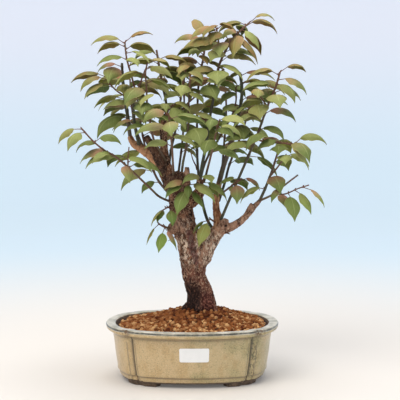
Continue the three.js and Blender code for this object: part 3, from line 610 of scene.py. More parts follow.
def bar(bm, sides, rows):
    """An upright closed bar, 1 in radius and 1 high about its middle, drawn up ring by ring from its base.
    Returns its vertices."""
    ring = bmesh.ops.create_circle(bm, cap_ends=True, segments=sides, radius=1)["verts"]
    bmesh.ops.translate(bm, vec=(0, 0, -0.5), verts=ring)
    edges = list(dict.fromkeys(e for v in ring for e in v.link_edges))
    made = list(ring)
    for _ in range(rows):
        drawn = bmesh.ops.extrude_edge_only(bm, edges=edges)["geom"]
        ring, edges = of_kind(bmesh.types.BMVert, drawn), of_kind(bmesh.types.BMEdge, drawn)
        bmesh.ops.translate(bm, vec=(0, 0, 1 / rows), verts=ring)
        made += ring
    bmesh.ops.contextual_create(bm, geom=edges)
    faces = list(dict.fromkeys(f for v in made for f in v.link_faces))
    bmesh.ops.recalc_face_normals(bm, faces=faces)
    return made


def grown_bar(bm, curve, radius_at, sides, rows):
    """A bar bent along a curve, of a radius that a rule gives for (share, turn).
    Returns each vertex with its share of the way along."""
    across = curve.across()
    placed = []
    for v in bar(bm, sides, rows):
        share, side, front = v.co.z + 0.5, v.co.x, -v.co.y
        forward = curve.forward(share)
        left = unit(np.cross(across, forward))
        up = np.cross(left, forward)
        r = radius_at(share, math.atan2(side, front))
        v.co = curve.at(share) + left * (side * r) + up * (front * r)
        placed.append((v, share))
    return placed


def new_object(name, bm):
    mesh = bpy.data.meshes.new(name)
    bm.to_mesh(mesh)
    bm.free()
    obj = bpy.data.objects.new(name, mesh)
    bpy.context.collection.objects.link(obj)
    return obj


def applied(obj):
    """The object's mesh with its modifiers applied, as a bmesh. The object goes."""
    depsgraph = bpy.context.evaluated_depsgraph_get()
    bm = bmesh.new()
    bm.from_object(obj, depsgraph)
    bpy.data.objects.remove(obj)
    return bm


def finished(name, bm, materials, replaced=(), sharp=180):
    """Makes a bmesh in mm a piece of the object, smooth but at edges sharper than that many degrees."""
    bmesh.ops.scale(bm, vec=(MM, MM, MM), verts=bm.verts)
    obj = new_object(name, bm)
    for material in materials:
        obj.data.materials.append(material)
    obj.data.shade_smooth()
    if sharp < 180:
        obj.data.set_sharp_from_angle(angle=math.radians(sharp))
    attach(obj, "root")
    if replaced:
        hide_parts(*replaced)
    return obj


# Materials

# How the materials use each kind of node: its settings, the inputs that values fill in order, and the
# output taken. A colour Mix node has sockets of its own for every kind of value, so its are numbered.
# A kind that isn't listed takes its first inputs and gives its first output.
USES = {
    "Attribute": ({}, (), "Fac"),
    "Bump": ({}, ("Height", "Distance"), 0),
    "MapRange": ({"interpolation_type": "SMOOTHSTEP"}, (0, 1, 2, 3, 4), 0),
    "Mapping": ({}, ("Vector", "Scale"), 0),
    "Mix": ({"data_type": "RGBA"}, (0, 6, 7), 2),
    "TexCoord": ({}, (), "Object"),
    "TexNoise": ({}, ("Vector", "Scale", "Detail", "Roughness"), 0),
}


def add(material, kind, *values, sockets=(), out=None, **settings):
    """Adds a node with its settings and links, and returns one of its outputs.

    values fill the inputs that USES lists, in order, and sockets fills others by name. Each is a number,
    a colour in sRGB hex or another node's output. out takes another output than the usual one.
    """
    usual, inputs, usual_out = USES.get(kind, ({}, (0, 1), 0))
    tree = material.node_tree
    made = tree.nodes.new("ShaderNode" + kind)
    for setting, value in {**usual, **settings}.items():
        setattr(made, setting, value)
    for socket, value in [*zip(inputs, values), *dict(sockets).items()]:
        if isinstance(value, bpy.types.NodeSocket):
            tree.links.new(value, made.inputs[socket])
        else:
            made.inputs[socket].default_value = linear(value) if isinstance(value, str) else value
    return made.outputs[usual_out if out is None else out] if made.outputs else None


def new_material(name):
    material = bpy.data.materials.new(name)
    material.use_nodes = True
    material.node_tree.nodes.clear()
    return material


def per_metre(size):
    """How many patches of a size in mm lie in a metre, which is a noise node's scale."""
    return 1 / (size * MM)


def stoneware_glaze():
    """Ash glaze, poured and fired: glossy, beige, greener and more speckled towards the right, clouded.
    It is thin and pale grey on the rim with a dark line round its edge, brown where the rim is chafed over
    the notches and darker there as painted shade of the rim's dip, dark where it pools in the grooves, and
    streaked on the right end beside its two grooves. Shade is painted on it in the grooves, behind the
    beads, under the lip and over the foot's step."""
    m = new_material("ash_glaze")
    place = add(m, "TexCoord")
    sideways = add(m, "SeparateXYZ", place)
    runs = add(m, "Mapping", place, (1, 1, 1 / 1.8))
    short_runs = add(m, "Mapping", place, (1, 1, 1 / 1.5))
    clouds = add(m, "TexNoise", place, per_metre(38), 2)
    drift = add(m, "Math", sideways, add(m, "Math", clouds, 0.06, operation="MULTIPLY"))
    colour = add(m, "Mix", add(m, "MapRange", drift, -0.01, 0.13), "#C6AB80", "#BCA87E")

    # The glaze ran down a little as it melted, so its warm clouds are longer upright
    warmer = add(m, "MapRange", add(m, "TexNoise", runs, per_metre(9), 4), 0.42, 0.66, 0, 0.4)
    colour = add(m, "Mix", warmer, colour, "#B08D58")
    rightwards = add(m, "Math", sideways, 1.3, operation="MULTIPLY")
    greener = add(m, "Math", add(m, "TexNoise", place, per_metre(24), 3), rightwards)
    greener = add(m, "MapRange", greener, 0.5, 0.74)
    colour = add(m, "Mix", add(m, "Math", greener, 0.4, operation="MULTIPLY"), colour, "#8F8A58")

    # Iron specks are half a millimetre wide or less, drawn three times as coarse to show
    specks = add(m, "MapRange", add(m, "TexNoise", place, per_metre(1.5), 3, 0.7), 0.5, 0.66)
    crowding = add(m, "MapRange", greener, 0, 1, 0.5, 0.85)
    colour = add(m, "Mix", add(m, "Math", specks, crowding, operation="MULTIPLY"), colour, "#6F6E4A")
    pale_specks = add(m, "MapRange", add(m, "TexNoise", place, per_metre(1.9), 2), 0.58, 0.7, 0, 0.45)
    colour = add(m, "Mix", pale_specks, colour, "#DCCBA2")
    # Darker where the glaze pools in the grooves, and painted shade in the grooves, behind the beads, under
    # the lip and over the foot's step
    pool_and_shade_tone = add(m, "Mix", specks, "#5F5441", "#2E2F28")
    colour = add(m, "Mix", add(m, "Attribute", attribute_name="pooled_and_shaded"), colour, pool_and_shade_tone)
    streaks = add(m, "MapRange", add(m, "TexNoise", short_runs, per_metre(3.0), 4, 0.75), 0.46, 0.6)
    streaked = add(m, "Attribute", attribute_name="streaked")
    colour = add(m, "Mix", add(m, "Math", streaked, streaks, operation="MULTIPLY"), colour, "#4C4932")
    rim_clouds = add(m, "MapRange", add(m, "TexNoise", place, per_metre(14), 3), 0.36, 0.66)
    rim_tone = add(m, "Mix", rim_clouds, "#DDD6C2", "#A8A188")
    rim_tone = add(m, "Mix", add(m, "MapRange", specks, 0.3, 1.0, 0, 0.35), rim_tone, "#8B8872")
    colour = add(m, "Mix", add(m, "Attribute", attribute_name="rim"), colour, rim_tone)
    worn = add(m, "MapRange", add(m, "TexNoise", place, per_metre(6), 3), 0.3, 0.6, 0.65, 1)
    edge = add(m, "Attribute", attribute_name="edge")
    colour = add(m, "Mix", add(m, "Math", edge, worn, operation="MULTIPLY"), colour, "#43423C")
    # Brown where the rim is chafed over the notches, and darker there as painted shade of the rim's dip
    scratches = add(m, "MapRange", add(m, "TexNoise", place, per_metre(3), 4), 0.42, 0.56)
    chafed_and_shaded = add(m, "Attribute", attribute_name="chafed_and_shaded")
    colour = add(m, "Mix", add(m, "Math", chafed_and_shaded, scratches, operation="MULTIPLY"), colour, "#6A5038")
    pits = add(m, "Math", specks, -0.15, operation="MULTIPLY")
    bumps = add(m, "Math", add(m, "TexNoise", place, per_metre(3.2), 2), pits)
    skin = add(m, "BsdfPrincipled", sockets={
        "Base Color": colour, "Roughness": 0.3, "IOR": 1.5, "Normal": add(m, "Bump", bumps, 0.25 * MM),
        "Coat Weight": 0.2, "Coat Roughness": 0.15,
    })
    add(m, "OutputMaterial", skin)
    return m


def bare_stoneware():
    """The same pot's clay where no glaze was poured: dark brown, dull and sandy."""
    m = new_material("bare_stoneware")
    place = add(m, "TexCoord")
    clouds = add(m, "MapRange", add(m, "TexNoise", place, per_metre(6), 4), 0.3, 0.7)
    colour = add(m, "Mix", clouds, "#4A3C32", "#6E5A49")

    # The sand in the clay is about 0.3 mm, drawn three times as coarse to show
    sand = add(m, "MapRange", add(m, "TexNoise", place, per_metre(0.9), 1), 0.6, 0.7, 0, 0.7)
    colour = add(m, "Mix", sand, colour, "#8A765F")
    relief = add(m, "Bump", add(m, "TexNoise", place, per_metre(0.8), 2), 0.3 * MM)
    skin = add(m, "BsdfPrincipled", sockets={"Base Color": colour, "Roughness": 0.85, "Normal": relief})
    add(m, "OutputMaterial", skin)
    return m


def baked_clay_grains():
    """Akadama, dried and sieved volcanic clay: matt, crumbling, orange-brown and darker where damp."""
    m = new_material("akadama")
    place = add(m, "TexCoord")
    tone = add(m, "Attribute", attribute_name="tone")
    colour = add(m, "Mix", add(m, "MapRange", tone, 0.0, 0.5), "#542612", "#945A30")
    colour = add(m, "Mix", add(m, "MapRange", tone, 0.5, 1.0), colour, "#D9AA74")

    # The clay dried in fine clumps, drawn about twice as coarse as they are, to show
    crumbs = add(m, "MapRange", add(m, "TexNoise", place, per_metre(1.3), 3), 0.5, 0.72, 0, 0.6)
    colour = add(m, "Mix", crumbs, colour, "#6E3D1C")
    relief = add(m, "Bump", add(m, "TexNoise", place, per_metre(0.7), 3), 0.35 * MM)
    skin = add(m, "BsdfPrincipled", sockets={
        "Base Color": colour, "Roughness": 0.95, "Specular IOR Level": 0.2, "Normal": relief,
    })
    add(m, "OutputMaterial", skin)
    return m


def damp_soil_and_gap_shade():
    """The same clay crushed fine by watering, damp, under the top grains: dark brown and dull, and darker
    still as painted shade in the gaps between the grains.
    """
    m = new_material("damp_soil_and_gap_shade")
    place = add(m, "TexCoord")
    clods = add(m, "MapRange", add(m, "TexNoise", place, per_metre(3), 4), 0.35, 0.65)
    # Darker than damp soil alone, as painted shade in the gaps between the grains
    colour = add(m, "Mix", clods, "#25120A", "#4A2712")
    relief = add(m, "Bump", add(m, "TexNoise", place, per_metre(2), 3), 0.8 * MM)
    skin = add(m, "BsdfPrincipled", sockets={"Base Color": colour, "Roughness": 1.0, "Normal": relief})
    add(m, "OutputMaterial", skin)
    return m


def old_bark():
    """Apricot bark, grown, split and weathered for decades: dull, fissured and flaking. It is damp and dark
    at the foot, nearly black on the left and raw red on the right, red-brown with straw-coloured flakes
    above, parted by a strip of bare reddish wood, grey-pink on the right limb, and red-brown where wood is
    cut or young."""
    m = new_material("apricot_bark")
    place = add(m, "TexCoord")
    long_grain = add(m, "Mapping", place, (1, 1, 1 / 2.6))
    plate_grain = add(m, "Mapping", place, (1, 1, 1 / 1.7))
    short_grain = add(m, "Mapping", place, (1, 1, 1 / 1.4))
    crumb_grain = add(m, "Mapping", place, (1, 1, 1 / 1.3))
    streaks = add(m, "TexNoise", long_grain, per_metre(6), 5, 0.65)
    flecks = add(m, "TexNoise", short_grain, per_metre(1.8), 3, 0.6)
    crumbs = add(m, "TexNoise", crumb_grain, per_metre(2.3), 4, 0.65)
    plates = add(m, "MapRange", add(m, "TexNoise", plate_grain, per_metre(5), 5, 0.7), 0.49, 0.55)
    names = ("rosy", "ruddy", "flaky", "damp", "wet", "raw", "bare", "shaded_hollows_and_dead_wood", "cut")
    painted = {name: add(m, "Attribute", attribute_name=name) for name in names}

    colour = add(m, "Mix", add(m, "MapRange", streaks, 0.4, 0.6), "#33190F", "#8C5F46")
    colour = add(m, "Mix", add(m, "MapRange", flecks, 0.52, 0.62, 0, 0.8), colour, "#BA967A")
    rosy = add(m, "Mix", add(m, "MapRange", streaks, 0.38, 0.58), "#523529", "#AC8268")
    rosy = add(m, "Mix", add(m, "MapRange", flecks, 0.52, 0.64, 0, 0.6), rosy, "#CDB096")
    colour = add(m, "Mix", painted["rosy"], colour, rosy)
    ruddy = add(m, "Mix", add(m, "MapRange", streaks, 0.34, 0.56), "#854E32", "#CE9870")
    colour = add(m, "Mix", add(m, "Math", painted["ruddy"], 0.9, operation="MULTIPLY"), colour, ruddy)
    flakes = add(m, "Math", painted["flaky"], plates, operation="MULTIPLY")
    colour = add(m, "Mix", flakes, colour, "#DFC4AB")
    damp = add(m, "Mix", add(m, "MapRange", streaks, 0.36, 0.62), "#44211A", "#80503E")
    damp = add(m, "Mix", add(m, "MapRange", crumbs, 0.5, 0.6, 0, 0.9), damp, "#BD987C")
    colour = add(m, "Mix", painted["damp"], colour, damp)
    wet = add(m, "Mix", add(m, "MapRange", crumbs, 0.55, 0.66), "#180907", "#6E4434")
    colour = add(m, "Mix", painted["wet"], colour, wet)
    raw = add(m, "Mix", add(m, "MapRange", crumbs, 0.48, 0.64), "#38110D", "#7C3E34")
    colour = add(m, "Mix", painted["raw"], colour, raw)
    bare = add(m, "Mix", add(m, "MapRange", crumbs, 0.42, 0.6), "#4A2A26", "#7E5249")
    colour = add(m, "Mix", painted["bare"], colour, bare)
    # Painted shade in the cracks and rotted eyes, and the darker dead limbs and twigs
    colour = add(m, "Mix", painted["shaded_hollows_and_dead_wood"], colour, "#271610")
    cut = add(m, "Mix", add(m, "MapRange", flecks, 0.4, 0.6), "#2E1512", "#74403A")
    colour = add(m, "Mix", painted["cut"], colour, cut)

    height = add(m, "Math", streaks, add(m, "Math", flecks, 0.6, operation="MULTIPLY"))
    height = add(m, "Math", height, add(m, "Math", plates, 0.25, operation="MULTIPLY"))
    skin = add(m, "BsdfPrincipled", sockets={
        "Base Color": colour, "Roughness": 0.88, "Specular IOR Level": 0.3,
        "Normal": add(m, "Bump", height, 1.6 * MM),
    })
    add(m, "OutputMaterial", skin)
    return m


def young_bark():
    """The smooth skin of one-year shoots: faintly glossy, dark green-brown, redder towards the tip
    and greener in patches, with pale pores. age is 0 at the tips and 1 on thick old stems."""
    m = new_material("shoot_bark")
    place = add(m, "TexCoord")
    level = add(m, "Mapping", place, (1, 1, 1 / 0.6))
    age = add(m, "Attribute", attribute_name="age")
    colour = add(m, "Mix", add(m, "MapRange", age, 0.0, 0.45), "#6F4634", "#3F3F2C")
    colour = add(m, "Mix", add(m, "MapRange", age, 0.55, 1.0), colour, "#5C4A3A")
    green = add(m, "MapRange", add(m, "TexNoise", place, per_metre(9), 3), 0.45, 0.7, 0, 0.6)
    colour = add(m, "Mix", green, colour, "#5B5836")

    # Pores lie across the shoot and are about 0.5 mm, drawn twice as coarse to show
    pores = add(m, "MapRange", add(m, "TexNoise", level, per_metre(1.1), 1), 0.68, 0.74)
    colour = add(m, "Mix", add(m, "Math", pores, 0.5, operation="MULTIPLY"), colour, "#9A8B6E")
    relief = add(m, "Bump", add(m, "TexNoise", place, per_metre(1.6), 2), 0.15 * MM)
    skin = add(m, "BsdfPrincipled", sockets={"Base Color": colour, "Roughness": 0.5, "Normal": relief})
    add(m, "OutputMaterial", skin)
    return m


def leaf_skin(name, light, deep, faded, gloss):
    """A leaf's face, grown thin over a net of veins: waxy above and dull below. It is paler or deeper from
    leaf to leaf, deeper green low in the crown as painted shade, paler along its veins and edge, and bronze
    or rosy where it is young."""
    m = new_material(name)
    place = add(m, "TexCoord")
    looks = ("tone", "bronze", "blush", "crown_shade")
    tone, bronze, blush, crown_shade = [add(m, "Attribute", attribute_name=look) for look in looks]
    spot = add(m, "UVMap", uv_map="leaf")
    lengthwise = add(m, "SeparateXYZ", spot, out="Y")
    sideways = add(m, "Math", add(m, "SeparateXYZ", spot), 0.5, operation="SUBTRACT")
    outwards = add(m, "Math", add(m, "Math", sideways, operation="ABSOLUTE"), 2, operation="MULTIPLY")
    colour = add(m, "Mix", add(m, "MapRange", tone, 0.1, 0.9), deep, light)
    fading = add(m, "MapRange", add(m, "TexNoise", place, per_metre(14), 3), 0.4, 0.7, 0, 0.5)
    colour = add(m, "Mix", fading, colour, faded)
    # Painted shade: leaves low in the crown are deeper green
    colour = add(m, "Mix", crown_shade, colour, add(m, "Mix", tone, "#3F6A1E", "#6F8B33"))
    at_foot = add(m, "MapRange", lengthwise, 0.75, 0.1)
    colour = add(m, "Mix", add(m, "Math", blush, at_foot, operation="MULTIPLY"), colour, "#B5806A")
    patches = add(m, "MapRange", add(m, "TexNoise", place, per_metre(11), 3), 0.35, 0.6, 0.45, 1)
    bronze = add(m, "Math", bronze, patches, operation="MULTIPLY")
    colour = add(m, "Mix", bronze, colour, add(m, "Mix", outwards, "#94763A", "#96543A"))

    # Side veins leave the midrib forwards, nine or so to a side
    forwards = add(m, "Math", outwards, 0.3, operation="MULTIPLY")
    vein = add(m, "Math", lengthwise, forwards, operation="SUBTRACT")
    vein = add(m, "Math", add(m, "Math", vein, 11, operation="MULTIPLY"), 1, operation="PINGPONG")
    dying_out = add(m, "MapRange", outwards, 0.97, 0.7)
    veins = add(m, "Math", add(m, "MapRange", vein, 0.13, 0.03), dying_out, operation="MULTIPLY")
    midrib_line = add(m, "MapRange", outwards, 0.1, 0.03)
    fainter = add(m, "Math", veins, 0.45, operation="MULTIPLY")
    net = add(m, "Math", fainter, midrib_line, operation="MAXIMUM")
    colour = add(m, "Mix", add(m, "Math", net, 0.26, operation="MULTIPLY"), colour, "#B4BC7C")
    colour = add(m, "Mix", add(m, "MapRange", outwards, 0.9, 1.0, 0, 0.45), colour, "#B9B070")
    skin = add(m, "BsdfPrincipled", sockets={
        "Base Color": colour, "Roughness": gloss, "Specular IOR Level": 0.28,
        "Normal": add(m, "Bump", net, -0.35 * MM),
    })
    add(m, "OutputMaterial", skin)
    return m


def label_paper():
    """Coated label paper, rolled smooth and left blank: even, white and nearly without gloss.
    Its fibres are far finer than the render shows, so they are drawn as a faint grain of 0.8 mm."""
    m = new_material("label_paper")
    place = add(m, "TexCoord")
    colour = add(m, "Mix", add(m, "TexNoise", place, per_metre(6), 3), "#F4F3F1", "#E9E8E6")
    relief = add(m, "Bump", add(m, "TexNoise", place, per_metre(0.8), 2), 0.02 * MM)
    skin = add(m, "BsdfPrincipled", sockets={"Base Color": colour, "Roughness": 0.55, "Normal": relief})
    add(m, "OutputMaterial", skin)
    return m


def drain_mesh():
    """Moulded polyethylene netting: dark, a little waxy, with dust from the clay. The scratches that its
    grain stands for are finer than the 0.9 mm drawn."""
    m = new_material("drain_mesh")
    place = add(m, "TexCoord")
    dust = add(m, "MapRange", add(m, "TexNoise", place, per_metre(5), 3), 0.5, 0.75)
    colour = add(m, "Mix", dust, "#252827", "#5A4636")
    relief = add(m, "Bump", add(m, "TexNoise", place, per_metre(0.9), 1), 0.08 * MM)
    skin = add(m, "BsdfPrincipled", sockets={"Base Color": colour, "Roughness": 0.6, "Normal": relief})
    add(m, "OutputMaterial", skin)
    return m


# The pot's plan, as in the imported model


def arc_radius(half_chord, rise):
    return (half_chord**2 + rise**2) / (2 * rise)


SIDE_RADIUS = arc_radius(KINK[0], HALF_WIDTH - KINK[1])
END_RADIUS = arc_radius(KINK[1], HALF_LENGTH - KINK[0])
KINK_ANGLE = math.atan2(KINK[1], KINK[0])


def first_quarter(angle):
    return math.atan2(abs(math.sin(angle)), abs(math.cos(angle)))


def rim_reach(angle):
    """How far the rim reaches from the pot's axis in a direction of the first quarter."""
    on_side = angle > KINK_ANGLE
    cx = 0 if on_side else HALF_LENGTH - END_RADIUS
    cy = HALF_WIDTH - SIDE_RADIUS if on_side else 0
    radius = SIDE_RADIUS if on_side else END_RADIUS
    towards = math.cos(angle) * cx + math.sin(angle) * cy
    reach = towards + math.sqrt(radius**2 - cx**2 - cy**2 + towards**2)
    return reach - NOTCH_DEPTH * math.exp(-(((angle - KINK_ANGLE) / NOTCH_SPREAD) ** 2))


def pot_point(angle, radius, z):
    """A point of the pot at a turn round its axis. radius is what it would be on the pot's long axis."""
    inset = HALF_LENGTH - max(radius, CORE)
    r = (rim_reach(first_quarter(angle)) - inset) * min(radius / CORE, 1)
    return Vector((r * math.cos(angle), r * math.sin(angle), z))


def crowded(angle):
    """Crowds the turns of a lathe towards the four notches."""
    quarter = first_quarter(angle)
    shift = CROWDING * math.sin(4 * (quarter - KINK_ANGLE)) * math.sin(2 * quarter)
    return angle - math.copysign(shift, shift * math.sin(angle) * math.cos(angle))


# The pot

# (radius, z, radius of the rounding there), from the underside's middle round to the floor's
POT_PROFILE = [
    (0, FOOT_HEIGHT, 0), (94, FOOT_HEIGHT, 0), (98.6, 5.8, 1.2), (101.2, 9.5, 2), (102, 14, 0.5),
    (103.5, 15.4, 0.8), (107, 38, 0), (110.1, 66.5, 1.5), (112, 69.6, 1), (118.2, 71.2, 1.5),
    (119.6, 73.4, 0.5), (119.0, 74.6, 0.5), (119.9, 75.8, 0.5), (120, 77.3, 1), (118.6, POT_HEIGHT, 0.6),
    (108, POT_HEIGHT, 1), (105.9, 77.2, 1.2), (103, 68, 0), (98, 20, 4), (92, FLOOR_TOP, 2),
    (0, FLOOR_TOP, 0),
]
PROFILE_STEP = 3
GROOVE_DEPTH, GROOVE_WIDTH = 1.5, 1.5
BEAD_HEIGHT, BEAD_WIDTH, BEAD_AWAY = 1.0, 1.0, 5.5
PANEL_TOP = 61
PANEL_FOOT = 16.5
INSIDE_LIP = 109

# The outer wall's foot, as its radius and height, with how far it leans out for each mm up
WALL_FOOT_RADIUS, WALL_FOOT_HEIGHT, WALL_LEAN = 101, 14, 0.13


def from_notch(angle):
    """How far along the wall a direction is from the nearest notch, in mm."""
    return abs(first_quarter(angle) - KINK_ANGLE) * math.hypot(*KINK)


def is_outside(radius, z):
    return radius > WALL_FOOT_RADIUS + WALL_LEAN * (z - WALL_FOOT_HEIGHT)


def on_outer_wall(radius, z):
    """1 on the outer wall under the rim, and 0 on the rim, inside and underneath."""
    return soft_step(7, 12, z) * soft_step(69, 64, z) if is_outside(radius, z) else 0


def panel_relief(angle, z):
    """The groove at each notch and the fine bead that frames each panel, in mm out from the wall."""
    away = from_notch(angle)
    groove = -GROOVE_DEPTH * hump(away, 0, GROOVE_WIDTH)
    upright = hump(away, BEAD_AWAY, BEAD_WIDTH) * soft_step(PANEL_TOP + 1, PANEL_TOP, z)
    level = hump(z, PANEL_TOP, BEAD_WIDTH) + hump(z, PANEL_FOOT, BEAD_WIDTH)
    frame_line = max(upright, 0.6 * level * soft_step(BEAD_AWAY - 1, BEAD_AWAY, away))
    return groove + BEAD_HEIGHT * frame_line


def wire(bm, points):
    made = [bm.verts.new(point) for point in points]
    for pair in zip(made, made[1:]):
        bm.edges.new(pair)
    return made


def lathed_pot():
    """The profile with its corners rounded, spun round the axis and squared up to the pot's plan."""
    bm = bmesh.new()
    corners = wire(bm, [(radius, 0, z) for radius, z, _ in POT_PROFILE])
    for rounding in sorted({corner[2] for corner in POT_PROFILE} - {0}):
        chosen = [v for v, corner in zip(corners, POT_PROFILE) if corner[2] == rounding]
        bmesh.ops.bevel(
            bm, geom=chosen, offset=rounding, affect="VERTICES", segments=4, profile=0.5, material=-1
        )
    while long_edges := [e for e in bm.edges if e.calc_length() > PROFILE_STEP]:
        bmesh.ops.subdivide_edges(bm, edges=long_edges, cuts=1)
    bmesh.ops.spin(
        bm, geom=bm.verts[:] + bm.edges[:], cent=(0, 0, 0), axis=(0, 0, 1),
        angle=2 * math.pi, steps=POT_TURNS, use_merge=True,
    )
    bmesh.ops.remove_doubles(bm, verts=bm.verts, dist=1e-3)
    for v in bm.verts:
        angle, radius, z = crowded(math.atan2(v.co.y, v.co.x)), math.hypot(v.co.x, v.co.y), v.co.z
        out = panel_relief(angle, z) * on_outer_wall(radius, z)
        v.co = pot_point(angle, radius + out, z)
    bmesh.ops.recalc_face_normals(bm, faces=bm.faces)
    return new_object("pot_body", bm)


# How far round a foot reaches, in radians, the radius under its middle, and its rows of faces
FOOT_SPAN, FOOT_MIDDLE, FOOT_ROWS = 0.5, 89.5, 16

# A foot's section, as (mm out from its middle, height), corner by corner, with the sole's edges taken off
FOOT_SECTION = [
    (7, FOOT_HEIGHT + 2), (5.7, 0.8), (4.7, 0), (-4.7, 0), (-5.7, 0.8), (-7, FOOT_HEIGHT + 2)
]


def feet():
    """Four low feet, each bent round the notch that it stands under."""
    bm = bmesh.new()
    for side in (1, -1):
        for front in (1, -1):
            corners = len(FOOT_SECTION)
            block = bar(bm, corners, FOOT_ROWS)
            for v in block:
                corner = round(math.atan2(-v.co.x, v.co.y) * corners / (2 * math.pi)) % corners
                out, z = FOOT_SECTION[corner]
                spot = pot_point(KINK_ANGLE + v.co.z * FOOT_SPAN, FOOT_MIDDLE + out, z)
                v.co = (spot.x * side, spot.y * front, z)
            if side != front:
                mirrored = list(dict.fromkeys(f for v in block for f in v.link_faces))
                bmesh.ops.reverse_faces(bm, faces=mirrored)
    return new_object("pot_feet", bm)


def drain_cutters():
    bm = bmesh.new()
    for x in (-DRAIN_OFFSET, DRAIN_OFFSET):
        hole = bmesh.ops.create_cone(
            bm, cap_ends=True, segments=48, radius1=DRAIN_RADIUS, radius2=DRAIN_RADIUS, depth=4 * FLOOR_TOP
        )["verts"]
        bmesh.ops.translate(bm, vec=(x, 0, 0), verts=hole)
    return new_object("drain_cutters", bm)


# The glaze's ends: the height over the feet, on the lip's outside and on its inside, and the streaks' depth
GLAZED_FOOT, GLAZED_LIP, GLAZED_INSIDE = 6.8, 72, 78
STREAKED = 0.8


def paint_pot(bm):
    """Marks where the glaze is thin, pooled, chafed, streaked or missing, and where shade is painted on
    it: in the grooves, behind the beads, under the lip, over the foot's step and over the notches. The
    numbers are the heights and the distances in mm between which each look comes in or goes out."""
    names = ("rim", "edge", "pooled_and_shaded", "chafed_and_shaded", "streaked")
    rim, edge, pooled_and_shaded, chafed_and_shaded, streaked = [bm.verts.layers.float.new(name) for name in names]
    for v in bm.verts:
        angle, z = math.atan2(v.co.y, v.co.x), v.co.z
        inset = rim_reach(first_quarter(angle)) - math.hypot(v.co.x, v.co.y)
        away = from_notch(angle)
        v[rim] = soft_step(74.5, 76, z)
        v[edge] = soft_step(75.6, 76.4, z) * soft_step(78.8, 78, z) * soft_step(2.2, 1.4, inset)
        # Chafed over the notches, with painted shade of the rim's dip there
        v[chafed_and_shaded] = hump(away, 0, 9) * soft_step(69, 72, z) * soft_step(4, 1.5, inset)
        if v.co.x > 0 and first_quarter(angle) < KINK_ANGLE:
            v[streaked] = soft_step(17, 2, away) * soft_step(9, 14, z) * soft_step(68, 62, z) * STREAKED
        # Painted shade in the grooves, behind the beads, under the lip and over the foot's step, with the
        # glaze pooled in the grooves
        groove = hump(away, 0, 2.0) * soft_step(10, 16, z)
        behind_bead = hump(away, BEAD_AWAY + 1.9, 1) * soft_step(62, 60, z) * 0.6
        under_lip = soft_step(64.5, 67.5, z) * soft_step(71.5, 70, z) * 0.55
        over_foot = hump(z, 14.2, 1.2) * 0.6
        v[pooled_and_shaded] = max(groove, behind_bead, under_lip, over_foot) * soft_step(74, 70, z)
    for face in bm.faces:
        middle = face.calc_center_median()
        angle = math.atan2(middle.y, middle.x)
        radius = HALF_LENGTH - rim_reach(first_quarter(angle)) + math.hypot(middle.x, middle.y)
        on_rim = middle.z > (GLAZED_LIP if radius > INSIDE_LIP else GLAZED_INSIDE)
        on_wall = is_outside(radius, middle.z) and middle.z > GLAZED_FOOT
        face.material_index = 0 if on_rim or on_wall else 1


def make_pot():
    body, added, cutters = lathed_pot(), feet(), drain_cutters()
    for other, operation in ((added, "UNION"), (cutters, "DIFFERENCE")):
        modifier = body.modifiers.new(operation, "BOOLEAN")
        modifier.operation = operation
        modifier.object = other
        modifier.solver = "EXACT"
    bm = applied(body)
    for other in (added, cutters):
        bpy.data.objects.remove(other)
    paint_pot(bm)
    finished("pot_glazed", bm, [stoneware_glaze(), bare_stoneware()], ["pot"], sharp=40)


def face_radius(z):
    """The outer face's radius on the long axis at a height of the panel."""
    face = POT_PROFILE[5:8]
    below, above = face[:2] if z < face[1][1] else face[1:]
    return below[0] + (z - below[1]) * (above[0] - below[0]) / (above[1] - below[1])


def make_label():
    """A blank label with round corners, stuck on the curve of the front."""
    bm = bmesh.new()
    bmesh.ops.create_grid(bm, x_segments=1, y_segments=1, size=0.5)
    bmesh.ops.scale(bm, vec=(LABEL_WIDTH, LABEL_HEIGHT, 1), verts=bm.verts)
    bmesh.ops.bevel(
        bm, geom=bm.verts[:], offset=LABEL_CORNER, affect="VERTICES", segments=5, profile=0.5, material=-1
    )
    for i in range(1, int(LABEL_WIDTH / LABEL_STEP)):
        at = (i * LABEL_STEP - LABEL_WIDTH / 2, 0, 0)
        sheet = bm.verts[:] + bm.edges[:] + bm.faces[:]
        bmesh.ops.bisect_plane(bm, geom=sheet, plane_co=at, plane_no=(1, 0, 0))
    away = HALF_WIDTH - HALF_LENGTH + face_radius(LABEL_MIDDLE)
    for v in bm.verts:
        z = LABEL_MIDDLE + v.co.y
        angle = -math.pi / 2 + (LABEL_ACROSS + v.co.x) / away
        v.co = pot_point(angle, face_radius(z) + LABEL_LIFT, z)
    bmesh.ops.recalc_face_normals(bm, faces=bm.faces)
    for face in bm.faces:
        if face.normal.y > 0:
            face.normal_flip()
    bmesh.ops.solidify(bm, geom=bm.faces[:], thickness=-LABEL_THICKNESS)
    bmesh.ops.recalc_face_normals(bm, faces=bm.faces)
    finished("label_paper_sheet", bm, [label_paper()], ["label"], sharp=40)


# The granules

WALL_INSET = 16.2
GRAIN_SPACING = 4.7
GRAIN_SIZES = (2.0, 3.5)
GRAIN_VERTS = 26
GRAIN_SEED = 41
GRAIN_STRETCH = (0.78, 1.15)
JITTER = 0.32

# How high a grain's middle lies over the ground, as shares of its size, and how much lower at the wall
GRAIN_LIFT, EDGE_SINK = (-0.25, 0.4), 0.5

# A grain is left out where the wood stands this far over the ground and its skin is this far away, in mm
WOOD_OVER, WOOD_GAP = 1, 1.5

# A grain's dents, as a share of its size, and how many there are across it
DENT_DEPTH, DENT_COUNT = 0.22, 1.3

# Shades run from 0, dark, to 1, pale: their middle and spread, and how much paler they are at the wall
# and darker when wet
GRAIN_SHADES, EDGE_PALER, WET_DARKER = (0.54, 0.26), 0.12, 0.35

